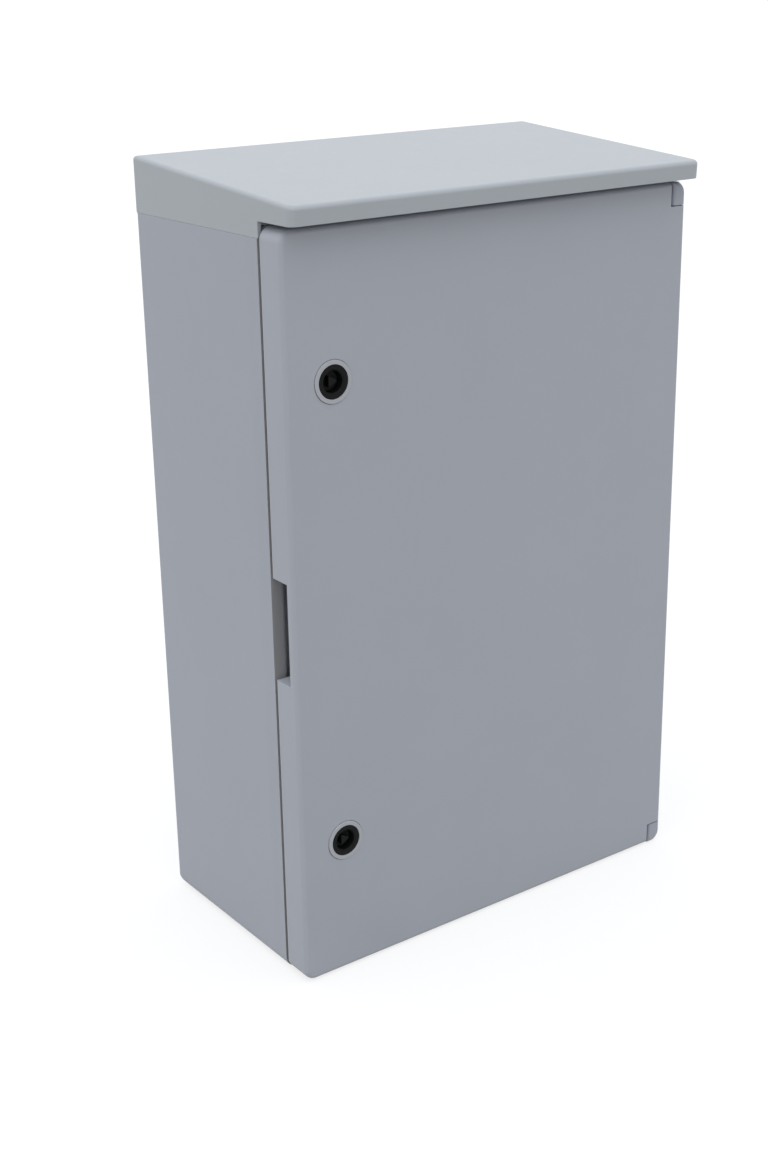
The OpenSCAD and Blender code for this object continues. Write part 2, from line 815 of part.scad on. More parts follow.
// Key pin, disc, shaft and square end, turned from one bar
module lock_core(z) {
    color(lock_black) in_frame() difference() {
        union() {
            turned_y(lock_x, key_front_y, z)
                cylinder(r = key_side / sqrt(3), h = well_depth - key_front_y, $fn = 3);
            rod_y(lock_x, z, well_depth - core_disc_t, well_depth, core_disc_d);
            rod_y(lock_x, z, well_depth - 0.5, cam_y, core_shaft_d);
            block(lock_x - cam_sq / 2, lock_x + cam_sq / 2, cam_y - 1, cam_y + cam_t - cam_sq_gap,
                  z - cam_sq / 2, z + cam_sq / 2);
        }
        rod_y(lock_x, z, cam_y + cam_t - cam_screw_l, cam_y + cam_t + 1, cam_screw_d + 2 * fit);
    }
}

module upper_lock_core() {
    lock_core(upper_lock_z);
}

module lower_lock_core() {
    lock_core(lower_lock_z);
}

// Cranked strip that hangs down while the lock is open
module lock_cam(z) {
    hole = cam_sq + 2 * cam_sq_gap;
    color(zinc) in_frame() difference() {
        along_x(lock_x - cam_w / 2, lock_x + cam_w / 2) {
            translate([cam_y, z - crank_r - cam_t]) square([cam_t, cam_tail + crank_r + cam_t]);
            translate([cam_y, z - crank_r - cam_t]) square([cam_tip_y + cam_t - cam_y, cam_t]);
            translate([cam_tip_y, z - cam_reach]) square([cam_t, cam_reach - crank_r]);
        }
        block(lock_x - hole / 2, lock_x + hole / 2, cam_y - 1, cam_y + cam_t + 1,
              z - hole / 2, z + hole / 2);
    }
}

module upper_lock_cam() {
    lock_cam(upper_lock_z);
}

module lower_lock_cam() {
    lock_cam(lower_lock_z);
}

module cam_screw(z) {
    seat = cam_y + cam_t;
    color(steel) in_frame() {
        rod_y(lock_x, z, seat - cam_screw_l + 0.5, seat + 0.5, cam_screw_d);
        rod_y(lock_x, z, seat, seat + cam_screw_head_h, cam_screw_head_d);
    }
}

module upper_cam_screw() {
    cam_screw(upper_lock_z);
}

module lower_cam_screw() {
    cam_screw(lower_lock_z);
}

cabinet_shell();
rain_hood();
hood_screws();
upper_hinge_pin();
lower_hinge_pin();
mounting_plate();
mounting_plate_screws();
upper_keeper();
lower_keeper();
keeper_screws();
gland_plate();
gland_plate_seal();
gland_plate_screws();
door_panel();
door_seal();
upper_lock_bezel();
lower_lock_bezel();
upper_lock_housing();
lower_lock_housing();
upper_lock_seal();
lower_lock_seal();
upper_lock_nut();
lower_lock_nut();
upper_lock_core();
lower_lock_core();
upper_lock_cam();
lower_lock_cam();
upper_cam_screw();
lower_cam_screw();
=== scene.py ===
"""Finishes and detailed pieces for a wall-mounted electrical cabinet with a rain hood.

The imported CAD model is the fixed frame. Sizes here are millimetres in the cabinet's own
directions: x from its left face, y back from the door's face, z up from its base.
"""

import json
import logging
import math
from dataclasses import dataclass
from enum import Enum
from itertools import product
from typing import Any, Callable, Iterable, Sequence

import bmesh
import bpy
import numpy as np
from mathutils import Matrix, Vector
from mathutils.geometry import tessellate_polygon


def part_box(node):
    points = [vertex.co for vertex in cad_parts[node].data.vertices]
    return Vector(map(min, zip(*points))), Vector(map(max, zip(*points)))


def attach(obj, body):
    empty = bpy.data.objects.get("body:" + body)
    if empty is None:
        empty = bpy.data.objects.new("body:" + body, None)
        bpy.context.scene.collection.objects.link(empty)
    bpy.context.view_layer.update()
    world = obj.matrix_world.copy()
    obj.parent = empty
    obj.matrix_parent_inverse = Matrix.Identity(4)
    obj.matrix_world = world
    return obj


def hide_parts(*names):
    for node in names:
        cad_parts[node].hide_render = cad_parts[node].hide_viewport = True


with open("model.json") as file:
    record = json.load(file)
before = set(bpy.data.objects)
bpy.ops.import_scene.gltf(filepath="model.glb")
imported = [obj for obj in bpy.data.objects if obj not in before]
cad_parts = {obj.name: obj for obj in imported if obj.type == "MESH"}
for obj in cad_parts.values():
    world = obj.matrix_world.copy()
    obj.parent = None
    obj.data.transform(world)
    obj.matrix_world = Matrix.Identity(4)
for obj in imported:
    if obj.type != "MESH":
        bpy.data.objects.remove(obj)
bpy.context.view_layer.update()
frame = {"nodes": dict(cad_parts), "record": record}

log = logging.getLogger("cabinet")

MM = 0.001
ORIGIN = np.array([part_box("cabinet_shell")[0].x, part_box("door_panel")[0].y, 0.0])
Colour = tuple[float, float, float]


class Body(Enum):
    """The bodies that move as one."""

    CABINET = "cabinet"
    DOOR = "door"
    UPPER_LOCK = "upper_lock"
    LOWER_LOCK = "lower_lock"


class Slot(Enum):
    """The record's material slots."""

    SHELL = "shell_plastic"
    DOOR = "door_plastic"
    HOOD = "hood_plastic"
    BEZEL = "bezel_plastic"
    LOCK = "lock_plastic"
    SEAL = "seal_rubber"
    GLAND = "gland_plastic"
    ZINC_SHEET = "zinc_plate"
    ZINC_SCREW = "zinc_screws"
    PIN = "pin_steel"


class Axis(Enum):
    """Directions that a turned piece's own axis can take."""

    FRONT = (0.0, -1.0, 0.0)
    BACK = (0.0, 1.0, 0.0)
    UP = (0.0, 0.0, 1.0)
    DOWN = (0.0, 0.0, -1.0)


# ---------- Outlines and grids ----------


@dataclass(frozen=True)
class Site:
    """The box that a CAD node fills at rest, in millimetres."""

    low: np.ndarray
    high: np.ndarray

    @classmethod
    def of(cls, node: str) -> "Site":
        """The box of one CAD node."""
        low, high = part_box(node)
        return cls((np.array(low) - ORIGIN) / MM, (np.array(high) - ORIGIN) / MM)

    @property
    def middle(self) -> np.ndarray:
        """The box's centre."""
        return (self.low + self.high) / 2


def rounded(corners: Sequence[Sequence[float]], radii: Sequence[float] | float,
            steps: int = 6) -> np.ndarray:
    """Closed outline through corners, each turned on an arc tangent to both of its sides.

    An arc's centre lies on the corner's bisector at r / sin(half the angle), and its points
    are the spherical blend of its two end radii.

    Args:
        corners: the outline's corners in order, in two dimensions.
        radii: one radius for all the corners, or one for each.
        steps: the number of spans in each arc.

    Returns:
        The outline's points, as an array of corners times (steps + 1) rows.
    """
    at = np.asarray(corners, float)
    radius = np.broadcast_to(np.asarray(radii, float), len(at)).reshape(-1, 1)
    back = np.roll(at, 1, axis=0) - at
    ahead = np.roll(at, -1, axis=0) - at
    back /= np.linalg.norm(back, axis=1, keepdims=True)
    ahead /= np.linalg.norm(ahead, axis=1, keepdims=True)
    half = np.arccos(np.clip((back * ahead).sum(1, keepdims=True), -1, 1)) / 2
    bisector = (back + ahead) / np.linalg.norm(back + ahead, axis=1, keepdims=True)
    centre = at + bisector * radius / np.sin(half)
    start = at + back * radius / np.tan(half) - centre
    end = at + ahead * radius / np.tan(half) - centre
    turn = (math.pi - 2 * half)[:, None, :]
    share = np.linspace(0, 1, steps + 1)[None, :, None]
    arcs = np.sin((1 - share) * turn) * start[:, None] + np.sin(share * turn) * end[:, None]
    return (centre[:, None] + arcs / np.sin(turn)).reshape(-1, 2)


def rectangle(x0: float, x1: float, z0: float, z1: float, radius: float,
              steps: int = 8) -> np.ndarray:
    """Outline of a rectangle with round corners, from its low corner round by the right."""
    return rounded([(x0, z0), (x1, z0), (x1, z1), (x0, z1)], max(radius, 0.02), steps)


def circle(radius: float, sides: int = 64) -> np.ndarray:
    """Points of a circle about the origin: radius times (cos a, sin a), a a whole turn."""
    angle = np.linspace(0, 2 * math.pi, sides, endpoint=False)
    return radius * np.stack([np.cos(angle), np.sin(angle)], axis=-1)


def at_depth(outline: np.ndarray, y: float) -> np.ndarray:
    """An outline drawn in x and z, laid at a depth y."""
    return np.stack([outline[:, 0], np.full(len(outline), y), outline[:, 1]], axis=-1)


def at_height(outline: np.ndarray, z: float) -> np.ndarray:
    """An outline drawn in x and y, laid at a height z."""
    return np.stack([outline[:, 0], outline[:, 1], np.full(len(outline), z)], axis=-1)


def outline_rings(box: Sequence[float], rows: Iterable[tuple[float, float, float]],
                  lay: Callable[[np.ndarray, float], np.ndarray], steps: int = 8) -> np.ndarray:
    """Rings of one rectangle with round corners.

    Args:
        box: the rectangle's x0, x1, z0 and z1.
        rows: for each ring, how far it is drawn in, where it lies, and its corners' radius.
        lay: at_depth for upright rings, or at_height for level ones.
        steps: the number of spans in each corner.

    Returns:
        A grid of rings.
    """
    x0, x1, z0, z1 = box
    return np.stack([lay(rectangle(x0 + i, x1 - i, z0 + i, z1 - i, radius, steps), place)
                     for i, place, radius in rows])


def directions(axis: Axis) -> tuple[np.ndarray, np.ndarray, np.ndarray]:
    """Unit vectors across, up and along for a piece that is turned about an axis."""
    along, across = np.array(axis.value), np.array([1.0, 0.0, 0.0])
    return across, np.cross(along, across), along


def turned(profile: np.ndarray, centre: Sequence[float], axis: Axis, sides: int = 64) -> np.ndarray:
    """Surface of revolution: each profile point (r, h) sweeps r (cos a, sin a) at h along the axis.

    Args:
        profile: rows of radius and distance along the axis.
        centre: the point where that distance is 0.
        axis: the direction in which the distance grows.
        sides: the number of steps round the axis.

    Returns:
        A grid of profile rows by sides columns.
    """
    across, up, along = directions(axis)
    ring = circle(1.0, sides)
    spokes = ring[:, :1] * across + ring[:, 1:] * up
    return np.asarray(centre) + profile[:, None, :1] * spokes + profile[:, None, 1:] * along


def quarter(radius: float, spans: int = 8) -> list[tuple[float, float]]:
    """Rows round an edge, as inset r (1 - sin a) and drop r (1 - cos a), a to a quarter turn."""
    return [(radius * (1 - math.sin(a)), radius * (1 - math.cos(a)))
            for a in np.linspace(0, math.pi / 2, spans + 1)]


def lip(wall: float, crisp: float) -> list[tuple[float, float]]:
    """Rows round a wall's free edge, as inset and rise, with both its corners broken."""
    side = [(0.0, crisp), (0.3 * crisp, 0.3 * crisp), (crisp, 0.0)]
    return side + [(wall - inset_, rise) for inset_, rise in side[::-1]]


def slab(site: Site, corner: float, edge: float,
         lay: Callable[[np.ndarray, float], np.ndarray]) -> np.ndarray:
    """Rings of a plate that fills a box, with round corners and broken edges.

    Args:
        site: the box.
        corner: the radius of the plate's corners.
        edge: the width of the broken edges.
        lay: at_depth for an upright plate, or at_height for a level one.

    Returns:
        Four rings, from the plate's low side to its high side.
    """
    wide, thick = (2, 1) if lay is at_depth else (1, 2)
    (x0, x1), (z0, z1), (y0, y1) = [(site.low[k], site.high[k]) for k in (0, wide, thick)]
    side = [(edge, y0), (0.0, y0 + edge), (0.0, y1 - edge), (edge, y1)]
    return outline_rings((x0, x1, z0, z1), [(i, y, corner - i) for i, y in side], lay)


def linked(name: str, data: bpy.types.ID) -> bpy.types.Object:
    """Makes an object of a mesh, a lamp or a camera, and links it to the scene."""
    obj = bpy.data.objects.new(name, data)
    bpy.context.scene.collection.objects.link(obj)
    return obj


class Solid:
    """Grids and flat fills in millimetres that weld into one closed mesh."""

    weld_steps_per_mm = 2e3

    def __init__(self) -> None:
        """Starts with no points and no faces."""
        self.points: list[np.ndarray] = []
        self.faces: list[np.ndarray] = []
        self.count = 0

    def _take(self, points: np.ndarray, faces: np.ndarray) -> None:
        """Adds points, and faces whose numbers start at the first of them."""
        self.points.append(points.reshape(-1, 3))
        self.faces.append(faces + self.count)
        self.count += len(self.points[-1])

    def grid(self, points: np.ndarray, loop_rows: bool = False,
             open_cells: np.ndarray | None = None) -> "Solid":
        """Adds a grid of quads between its neighbours, whose last column joins its first.

        Args:
            points: rows by columns by three.
            loop_rows: whether the last row joins the first too.
            open_cells: rows by columns, true at the low corner of each quad that is left out.

        Returns:
            The solid itself, so that calls can be chained.
        """
        rows, columns = points.shape[:2]
        row = np.arange(rows if loop_rows else rows - 1)[:, None]
        column = np.arange(columns)[None, :]
        below, beside = (row + 1) % rows, (column + 1) % columns
        corners = [(row, column), (row, beside), (below, beside), (below, column)]
        faces = np.stack(np.broadcast_arrays(*[r * columns + c for r, c in corners]), axis=-1)
        if open_cells is not None:
            faces = faces[~open_cells[: len(faces)]]
        self._take(points, faces.reshape(-1, 4))
        return self

    def fill(self, *outlines: np.ndarray) -> "Solid":
        """Adds one flat face: the first outline, less the others, in triangles."""
        triangles = tessellate_polygon([[Vector(p) for p in outline] for outline in outlines])
        faces = np.array([(a, b, c, c) for a, b, c in triangles])
        self._take(np.concatenate(outlines), faces)
        return self

    def capped(self, rings: np.ndarray) -> "Solid":
        """Adds rings, and fills the first and the last."""
        return self.grid(rings).fill(rings[0]).fill(rings[-1])

    def welded(self) -> tuple[np.ndarray, list[list[int]]]:
        """The points with doubles merged, and the faces without the corners that this merges."""
        points = np.concatenate(self.points)
        _, first, number = np.unique(np.round(points * self.weld_steps_per_mm), axis=0,
                                     return_index=True, return_inverse=True)
        faces = number.reshape(-1)[np.concatenate(self.faces)]
        ahead = np.roll(faces, -1, axis=1)
        keep = faces != ahead
        whole = faces[keep.all(1)]
        part = faces[keep.sum(1) == 3]
        three = part[part != np.roll(part, -1, axis=1)].reshape(-1, 3)
        three = three[(three != np.roll(three, 1, axis=1)).all(1)]
        return points[first], whole.tolist() + three.tolist()

    def mesh(self, name: str, sharp_deg: float) -> bpy.types.Mesh:
        """Makes the mesh, in metres in the shared frame, with its faces outward.

        Args:
            name: the mesh's name.
            sharp_deg: the angle past which an edge between two faces stays sharp.

        Returns:
            The new mesh.
        """
        points, faces = self.welded()
        mesh = bpy.data.meshes.new(name)
        mesh.from_pydata((points * MM + ORIGIN).tolist(), [], faces)
        mesh.validate()
        work = bmesh.new()
        work.from_mesh(mesh)
        bmesh.ops.recalc_face_normals(work, faces=work.faces)
        work.to_mesh(mesh)
        work.free()
        mesh.polygons.foreach_set("use_smooth", np.ones(len(mesh.polygons), bool))
        mesh.set_sharp_from_angle(angle=math.radians(sharp_deg))
        return mesh

    def piece(self, name: str, body: Body, slot: Slot, finishes: "Finishes", *nodes: str,
              finish: Slot | None = None, sharp_deg: float = 32.0) -> bpy.types.Object:
        """Makes the piece, which stands for CAD nodes and rides on a body.

        Args:
            name: the piece's name.
            body: the body that it moves with.
            slot: its material slot.
            finishes: the cabinet's finishes.
            nodes: the CAD nodes that it stands for.
            finish: the slot whose finish it wears, where that isn't its own.
            sharp_deg: the angle past which an edge stays sharp.

        Returns:
            The new object.
        """
        obj = linked(name, self.mesh(name, sharp_deg))
        obj.data.materials.append(finishes[finish or slot])
        normals = obj.modifiers.new("flat faces stay flat", "WEIGHTED_NORMAL")
        normals.keep_sharp = True
        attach(obj, body.value)
        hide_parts(*nodes)
        log.info("%s: %d faces on %s", name, len(obj.data.polygons), body.value)
        return obj


# ---------- Shader maths ----------


def operator(operation: str, reflected: bool = False) -> Callable[..., "Signal"]:
    """Makes the method of one of Python's operators, from a Math node's operation.

    Args:
        operation: the node's operation.
        reflected: whether the number stands before the signal.

    Returns:
        The method.
    """

    def method(signal: "Signal", other: "Signal | float") -> "Signal":
        """Adds the Math node."""
        return signal.maths(operation, *((other, signal) if reflected else (signal, other)))

    return method


@dataclass(frozen=True)
class Signal:
    """A node's output, on which Python's operators add Math nodes."""

    graph: "Graph"
    socket: bpy.types.NodeSocket

    def maths(self, operation: str, *values: "Signal | float") -> "Signal":
        """Adds one Math node."""
        return self.graph.node("ShaderNodeMath", {"operation": operation}, dict(enumerate(values)))

    __add__, __radd__ = operator("ADD"), operator("ADD", reflected=True)
    __sub__, __rsub__ = operator("SUBTRACT"), operator("SUBTRACT", reflected=True)
    __mul__, __rmul__ = operator("MULTIPLY"), operator("MULTIPLY", reflected=True)
    __truediv__, __rtruediv__ = operator("DIVIDE"), operator("DIVIDE", reflected=True)

    def over(self, low: float, high: float) -> "Signal":
        """0 below low, 1 above high, and a smooth step between them."""
        return self.graph.node("ShaderNodeMapRange", {"interpolation_type": "SMOOTHSTEP"},
                               {"Value": self, "From Min": low, "From Max": high})

    def greater(self, other: "Signal | float") -> "Signal":
        """The larger of the two."""
        return self.maths("MAXIMUM", self, other)


class Graph:
    """A material's or a world's node tree."""

    def __init__(self, owner: bpy.types.Material | bpy.types.World) -> None:
        """Empties the owner's tree and works in it."""
        owner.use_nodes = True
        self.tree = owner.node_tree
        self.tree.nodes.clear()

    def node(self, kind: str, settings: dict[str, Any] | None = None,
             inputs: dict[str | int, Any] | None = None, output: str | int = 0) -> Signal:
        """Adds one node.

        Args:
            kind: the node's type.
            settings: its properties, such as a Math node's operation, set first.
            inputs: a value or a Signal for each socket, by name or number.
            output: the socket to return.

        Returns:
            The chosen output.
        """
        made = self.tree.nodes.new(kind)
        for name, value in (settings or {}).items():
            setattr(made, name, value)
        for name, value in (inputs or {}).items():
            if isinstance(value, Signal):
                self.tree.links.new(value.socket, made.inputs[name])
            else:
                made.inputs[name].default_value = value
        return Signal(self, made.outputs[output]) if len(made.outputs) else None

    def coordinates(self) -> Signal:
        """The point on the piece, in metres."""
        return self.node("ShaderNodeTexCoord", output="Object")

    def stretched(self, scale: Colour) -> Signal:
        """The point on the piece, scaled along each axis."""
        return self.node("ShaderNodeMapping", None, {"Vector": self.coordinates(), "Scale": scale})

    def noise(self, size_mm: float, detail: float = 2.0, where: Signal | None = None) -> Signal:
        """Smooth noise about 0.5, whose features are about size_mm across."""
        return self.node("ShaderNodeTexNoise", None, {
            "Vector": where or self.coordinates(), "Scale": 1 / (size_mm * MM), "Detail": detail})

    def cells(self, size_mm: float, output: str = "Distance") -> Signal:
        """Voronoi cells about size_mm across."""
        return self.node("ShaderNodeTexVoronoi", None,
                         {"Vector": self.coordinates(), "Scale": 1 / (size_mm * MM)}, output)

    def facing(self, axis: str) -> Signal:
        """How far the surface faces along an axis: 1 along it, 0 across it, -1 against it."""
        return self.part(self.node("ShaderNodeNewGeometry", output="Normal"), axis)

    def depth_mm(self) -> Signal:
        """Distance behind the door's face, in millimetres."""
        return (self.part(self.coordinates(), "Y") - float(ORIGIN[1])) / MM

    def part(self, vector: Signal, axis: str) -> Signal:
        """One component of a vector."""
        return self.node("ShaderNodeSeparateXYZ", None, {0: vector}, axis)

    def mix(self, share: Signal | float, low: Any, high: Any) -> Signal:
        """Colour that goes from low to high as share goes from 0 to 1."""
        return self.node("ShaderNodeMix", {"data_type": "RGBA"},
                         {0: share, 6: solid(low), 7: solid(high)}, 2)

    def bump(self, height: Signal, depth_mm: float) -> Signal:
        """Normal of a surface raised by depth_mm where height is 1."""
        return self.node("ShaderNodeBump", None,
                         {"Height": height, "Distance": depth_mm * MM}, "Normal")

    def principled(self, colour: Signal, roughness: Signal, normal: Signal,
                   **rest: float) -> Signal:
        """Principled shader, with other constants by socket name, underscores for spaces."""
        constants = {name.replace("_", " "): value for name, value in rest.items()}
        return self.node("ShaderNodeBsdfPrincipled", None, {
            "Base Color": colour, "Roughness": roughness, "Normal": normal, **constants})


def solid(colour: Any) -> Any:
    """A colour with its alpha, or a Signal as it is."""
    return colour if isinstance(colour, Signal) else (*colour, 1.0)


def shade(colour: Colour, factor: float) -> Colour:
    """A colour made lighter or darker by a factor."""
    return tuple(channel * factor for channel in colour)


# ---------- Finishes ----------


@dataclass(frozen=True)
class Finish:
    """A finish, whose own class says what it looks like."""

    name: str

    def shader(self, g: Graph) -> Signal:
        """Adds the finish's nodes to a tree."""
        raise NotImplementedError

    def material(self) -> bpy.types.Material:
        """Makes the material."""
        made = bpy.data.materials.new(self.name)
        g = Graph(made)
        g.node("ShaderNodeOutputMaterial", None, {"Surface": self.shader(g)})
        return made


@dataclass(frozen=True)
class MouldedPlastic(Finish):
    """Grained plastic: faint clouding and pigment specks, a fine grain, and dust on level tops.

    Where the channel's depths are set, faces to the front between those two depths behind the
    door's face carry painted shade: they are darkened towards a neutral grey, as the channel round
    a door lies in shade.
    """

    colour: Colour
    roughness: float = 0.46
    grain_mm: float = 0.55
    grain_depth_mm: float = 0.018
    clouding: float = 0.012
    dust: Colour = (0.62, 0.63, 0.63)
    dust_share: float = 0.10
    # Colour of the painted shade in the door's channel, a darker neutral grey.
    channel_shade: Colour = (0.385, 0.380, 0.380)
    # Depths behind the door's face between which front-facing faces carry painted shade.
    channel_shade_mm: tuple[float, float] | None = None

    def shader(self, g: Graph) -> Signal:
        """Adds the finish's nodes to a tree."""
        cloud = g.noise(95, 3)
        drift = g.noise(22, 2)
        grain = g.noise(self.grain_mm, 2)
        specks = g.cells(1.3).over(0.05, 0.16)
        tone = (0.65 * cloud + 0.35 * drift).over(0.3, 0.7)
        body = g.mix(tone, *[shade(self.colour, 1 + side * self.clouding) for side in (-1, 1)])
        flecked = g.mix((1 - specks) * 0.25, body, shade(self.colour, 0.72))
        settled = g.facing("Z").over(0.5, 0.95) * g.noise(14, 4).over(0.35, 0.75) * self.dust_share
        colour = g.mix(settled, flecked, self.dust)
        # Painted shade: front-facing faces in the channel behind the door's face are darkened,
        # under a faint noise.
        if self.channel_shade_mm:
            start, end = self.channel_shade_mm
            deep = g.depth_mm()
            channel = deep.over(start, start + 3) * (1 - deep.over(end - 3, end))
            shade_share = (0.0 - g.facing("Y")).over(-0.1, 0.6) * channel * g.noise(60, 2).over(0.0, 0.4)
            colour = g.mix(shade_share, colour, self.channel_shade)
        rubbed = g.noise(9, 3, g.stretched((1.0, 1.0, 0.22))).over(0.55, 0.8)
        roughness = self.roughness + 0.08 * (drift - 0.5) - 0.05 * rubbed + 0.2 * settled
        relief = 0.8 * grain + 0.2 * g.noise(2.4, 2)
        return g.principled(colour, roughness, g.bump(relief, self.grain_depth_mm), IOR=1.47)


@dataclass(frozen=True)
class LockNylon(Finish):
    """Black glass-filled nylon with a satin face and faint turning marks."""

    colour: Colour = (0.0055, 0.0060, 0.0060)
    roughness: float = 0.45
    sheen_level: float = 0.12

    def shader(self, g: Graph) -> Signal:
        """Adds the finish's nodes to a tree."""
        fibres = g.noise(1.2, 3, g.stretched((3.0, 1.0, 0.6)))
        wear = g.noise(5, 3).over(0.55, 0.8)
        worn = 0.5 * fibres.over(0.35, 0.7) + 0.5 * wear
        colour = g.mix(worn, self.colour, shade(self.colour, 1.9))
        roughness = self.roughness + 0.14 * (fibres - 0.5) + 0.08 * wear
        return g.principled(colour, roughness, g.bump(fibres, 0.015),
                            Specular_IOR_Level=self.sheen_level)


@dataclass(frozen=True)
class FoamRubber(Finish):
    """Closed-cell rubber: matt black with a skin of small pores."""

    colour: Colour = (0.020, 0.020, 0.021)
    pore_mm: float = 0.9

    def shader(self, g: Graph) -> Signal:
        """Adds the finish's nodes to a tree."""
        pores = g.cells(self.pore_mm).over(0.1, 0.5)
        bloom = g.noise(18, 3).over(0.4, 0.75)
        skin = g.mix(pores, shade(self.colour, 0.55), self.colour)
        colour = g.mix(0.6 * bloom, skin, shade(self.colour, 1.7))
        return g.principled(colour, 0.78 + 0.12 * bloom, g.bump(pores, 0.09))


@dataclass(frozen=True)
class ZincSheet(Finish):
    """Galvanised sheet: crystals of zinc that differ in tone and sheen, and light scratches."""

    colour: Colour = (0.50, 0.51, 0.53)
    crystal_mm: float = 9.0

    def shader(self, g: Graph) -> Signal:
        """Adds the finish's nodes to a tree."""
        crystal, small = [
            g.node("ShaderNodeSeparateColor", None, {0: g.cells(size, "Color")}, channel)
            for size, channel in ((self.crystal_mm, "Red"), (self.crystal_mm / 3, "Green"))]
        scratch = g.noise(1.1, 3, g.stretched((1.0, 1.0, 0.035))).over(0.6, 0.8)
        tone = 0.65 * crystal + 0.35 * small
        colour = g.mix(tone, shade(self.colour, 0.80), shade(self.colour, 1.16))
        roughness = 0.36 + 0.16 * tone - 0.08 * scratch
        relief = g.bump(0.5 * tone + 0.5 * scratch, 0.012)
        return g.principled(colour, roughness, relief, Metallic=1.0)


@dataclass(frozen=True)
class BrightSteel(Finish):
    """Turned or plated steel with fine tool marks and a faint tint that drifts."""

    colour: Colour
    tint: Colour
    roughness: float = 0.3

    def shader(self, g: Graph) -> Signal:
        """Adds the finish's nodes to a tree."""
        marks = g.noise(0.5, 3, g.stretched((1.0, 1.0, 0.2)))
        drift = g.noise(7, 3).over(0.35, 0.7)
        roughness = self.roughness + 0.14 * (marks - 0.5) + 0.08 * drift
        colour = g.mix(drift, self.colour, self.tint)
        return g.principled(colour, roughness, g.bump(marks, 0.008), Metallic=1.0)


@dataclass(frozen=True)
class StudioFloor(Finish):
    """Pale floor that looks white, keeps a soft shadow, and lights the object plainly."""

    name: str = "studio_floor"
    bounce: Colour = (0.45, 0.44, 0.43)
    seen: Colour = (0.30, 0.30, 0.30)
    glow: float = 0.74

    def shader(self, g: Graph) -> Signal:
        """Adds the finish's nodes to a tree."""
        looked_at = seen_ray(g)
        paint = g.node("ShaderNodeBsdfDiffuse", None,
                       {"Color": g.mix(looked_at, self.bounce, self.seen)})
        light = g.node("ShaderNodeEmission", None,
                       {"Color": solid((1.0, 1.0, 1.0)), "Strength": looked_at * self.glow})
        return g.node("ShaderNodeAddShader", None, {0: paint, 1: light})


def seen_ray(g: Graph) -> Signal:
    """1 for a ray from the camera, or one that gloss or glass has sent on."""
    camera, gloss, glass = [g.node("ShaderNodeLightPath", output=f"Is {kind} Ray")
                            for kind in ("Camera", "Glossy", "Transmission")]
    return camera.greater(gloss).greater(glass)


class Finishes:
    """Every finish of the cabinet, made once, by the record's slots."""

    def __init__(self) -> None:
        """Makes the materials."""
        # The shell's painted shade lies between these depths behind the door's face, in the door's
        # channel.
        channel_shade_mm = (22.0, 48.0)
        made: dict[Slot, Finish] = {
            Slot.SHELL: MouldedPlastic("shell_grey", (0.428, 0.458, 0.522), channel_shade_mm=channel_shade_mm),
            Slot.DOOR: MouldedPlastic("door_grey", (0.455, 0.480, 0.535)),
            Slot.HOOD: MouldedPlastic("hood_grey", (0.465, 0.498, 0.532), roughness=0.42,
                                      dust_share=0.05),
            Slot.BEZEL: MouldedPlastic("bezel_grey", (0.475, 0.490, 0.525), roughness=0.36,
                                       grain_depth_mm=0.006, clouding=0.02),
            Slot.GLAND: MouldedPlastic("gland_grey", (0.16, 0.165, 0.17), roughness=0.5),
            Slot.LOCK: LockNylon("lock_black"),
            Slot.SEAL: FoamRubber("seal_foam"),
            Slot.ZINC_SHEET: ZincSheet("zinc_sheet"),
            Slot.ZINC_SCREW: BrightSteel("zinc_screw", (0.62, 0.63, 0.66), (0.60, 0.60, 0.55)),
            Slot.PIN: BrightSteel("pin_steel", (0.56, 0.56, 0.57), (0.50, 0.50, 0.52), 0.26),
        }
        self.materials = {slot: finish.material() for slot, finish in made.items()}

    def __getitem__(self, slot: Slot) -> bpy.types.Material:
        """The material of one slot."""
        return self.materials[slot]


# ---------- Fasteners ----------


class Head(Enum):
    """Shapes of a screw's head."""

    PAN = "pan"
    SUNK = "countersunk"


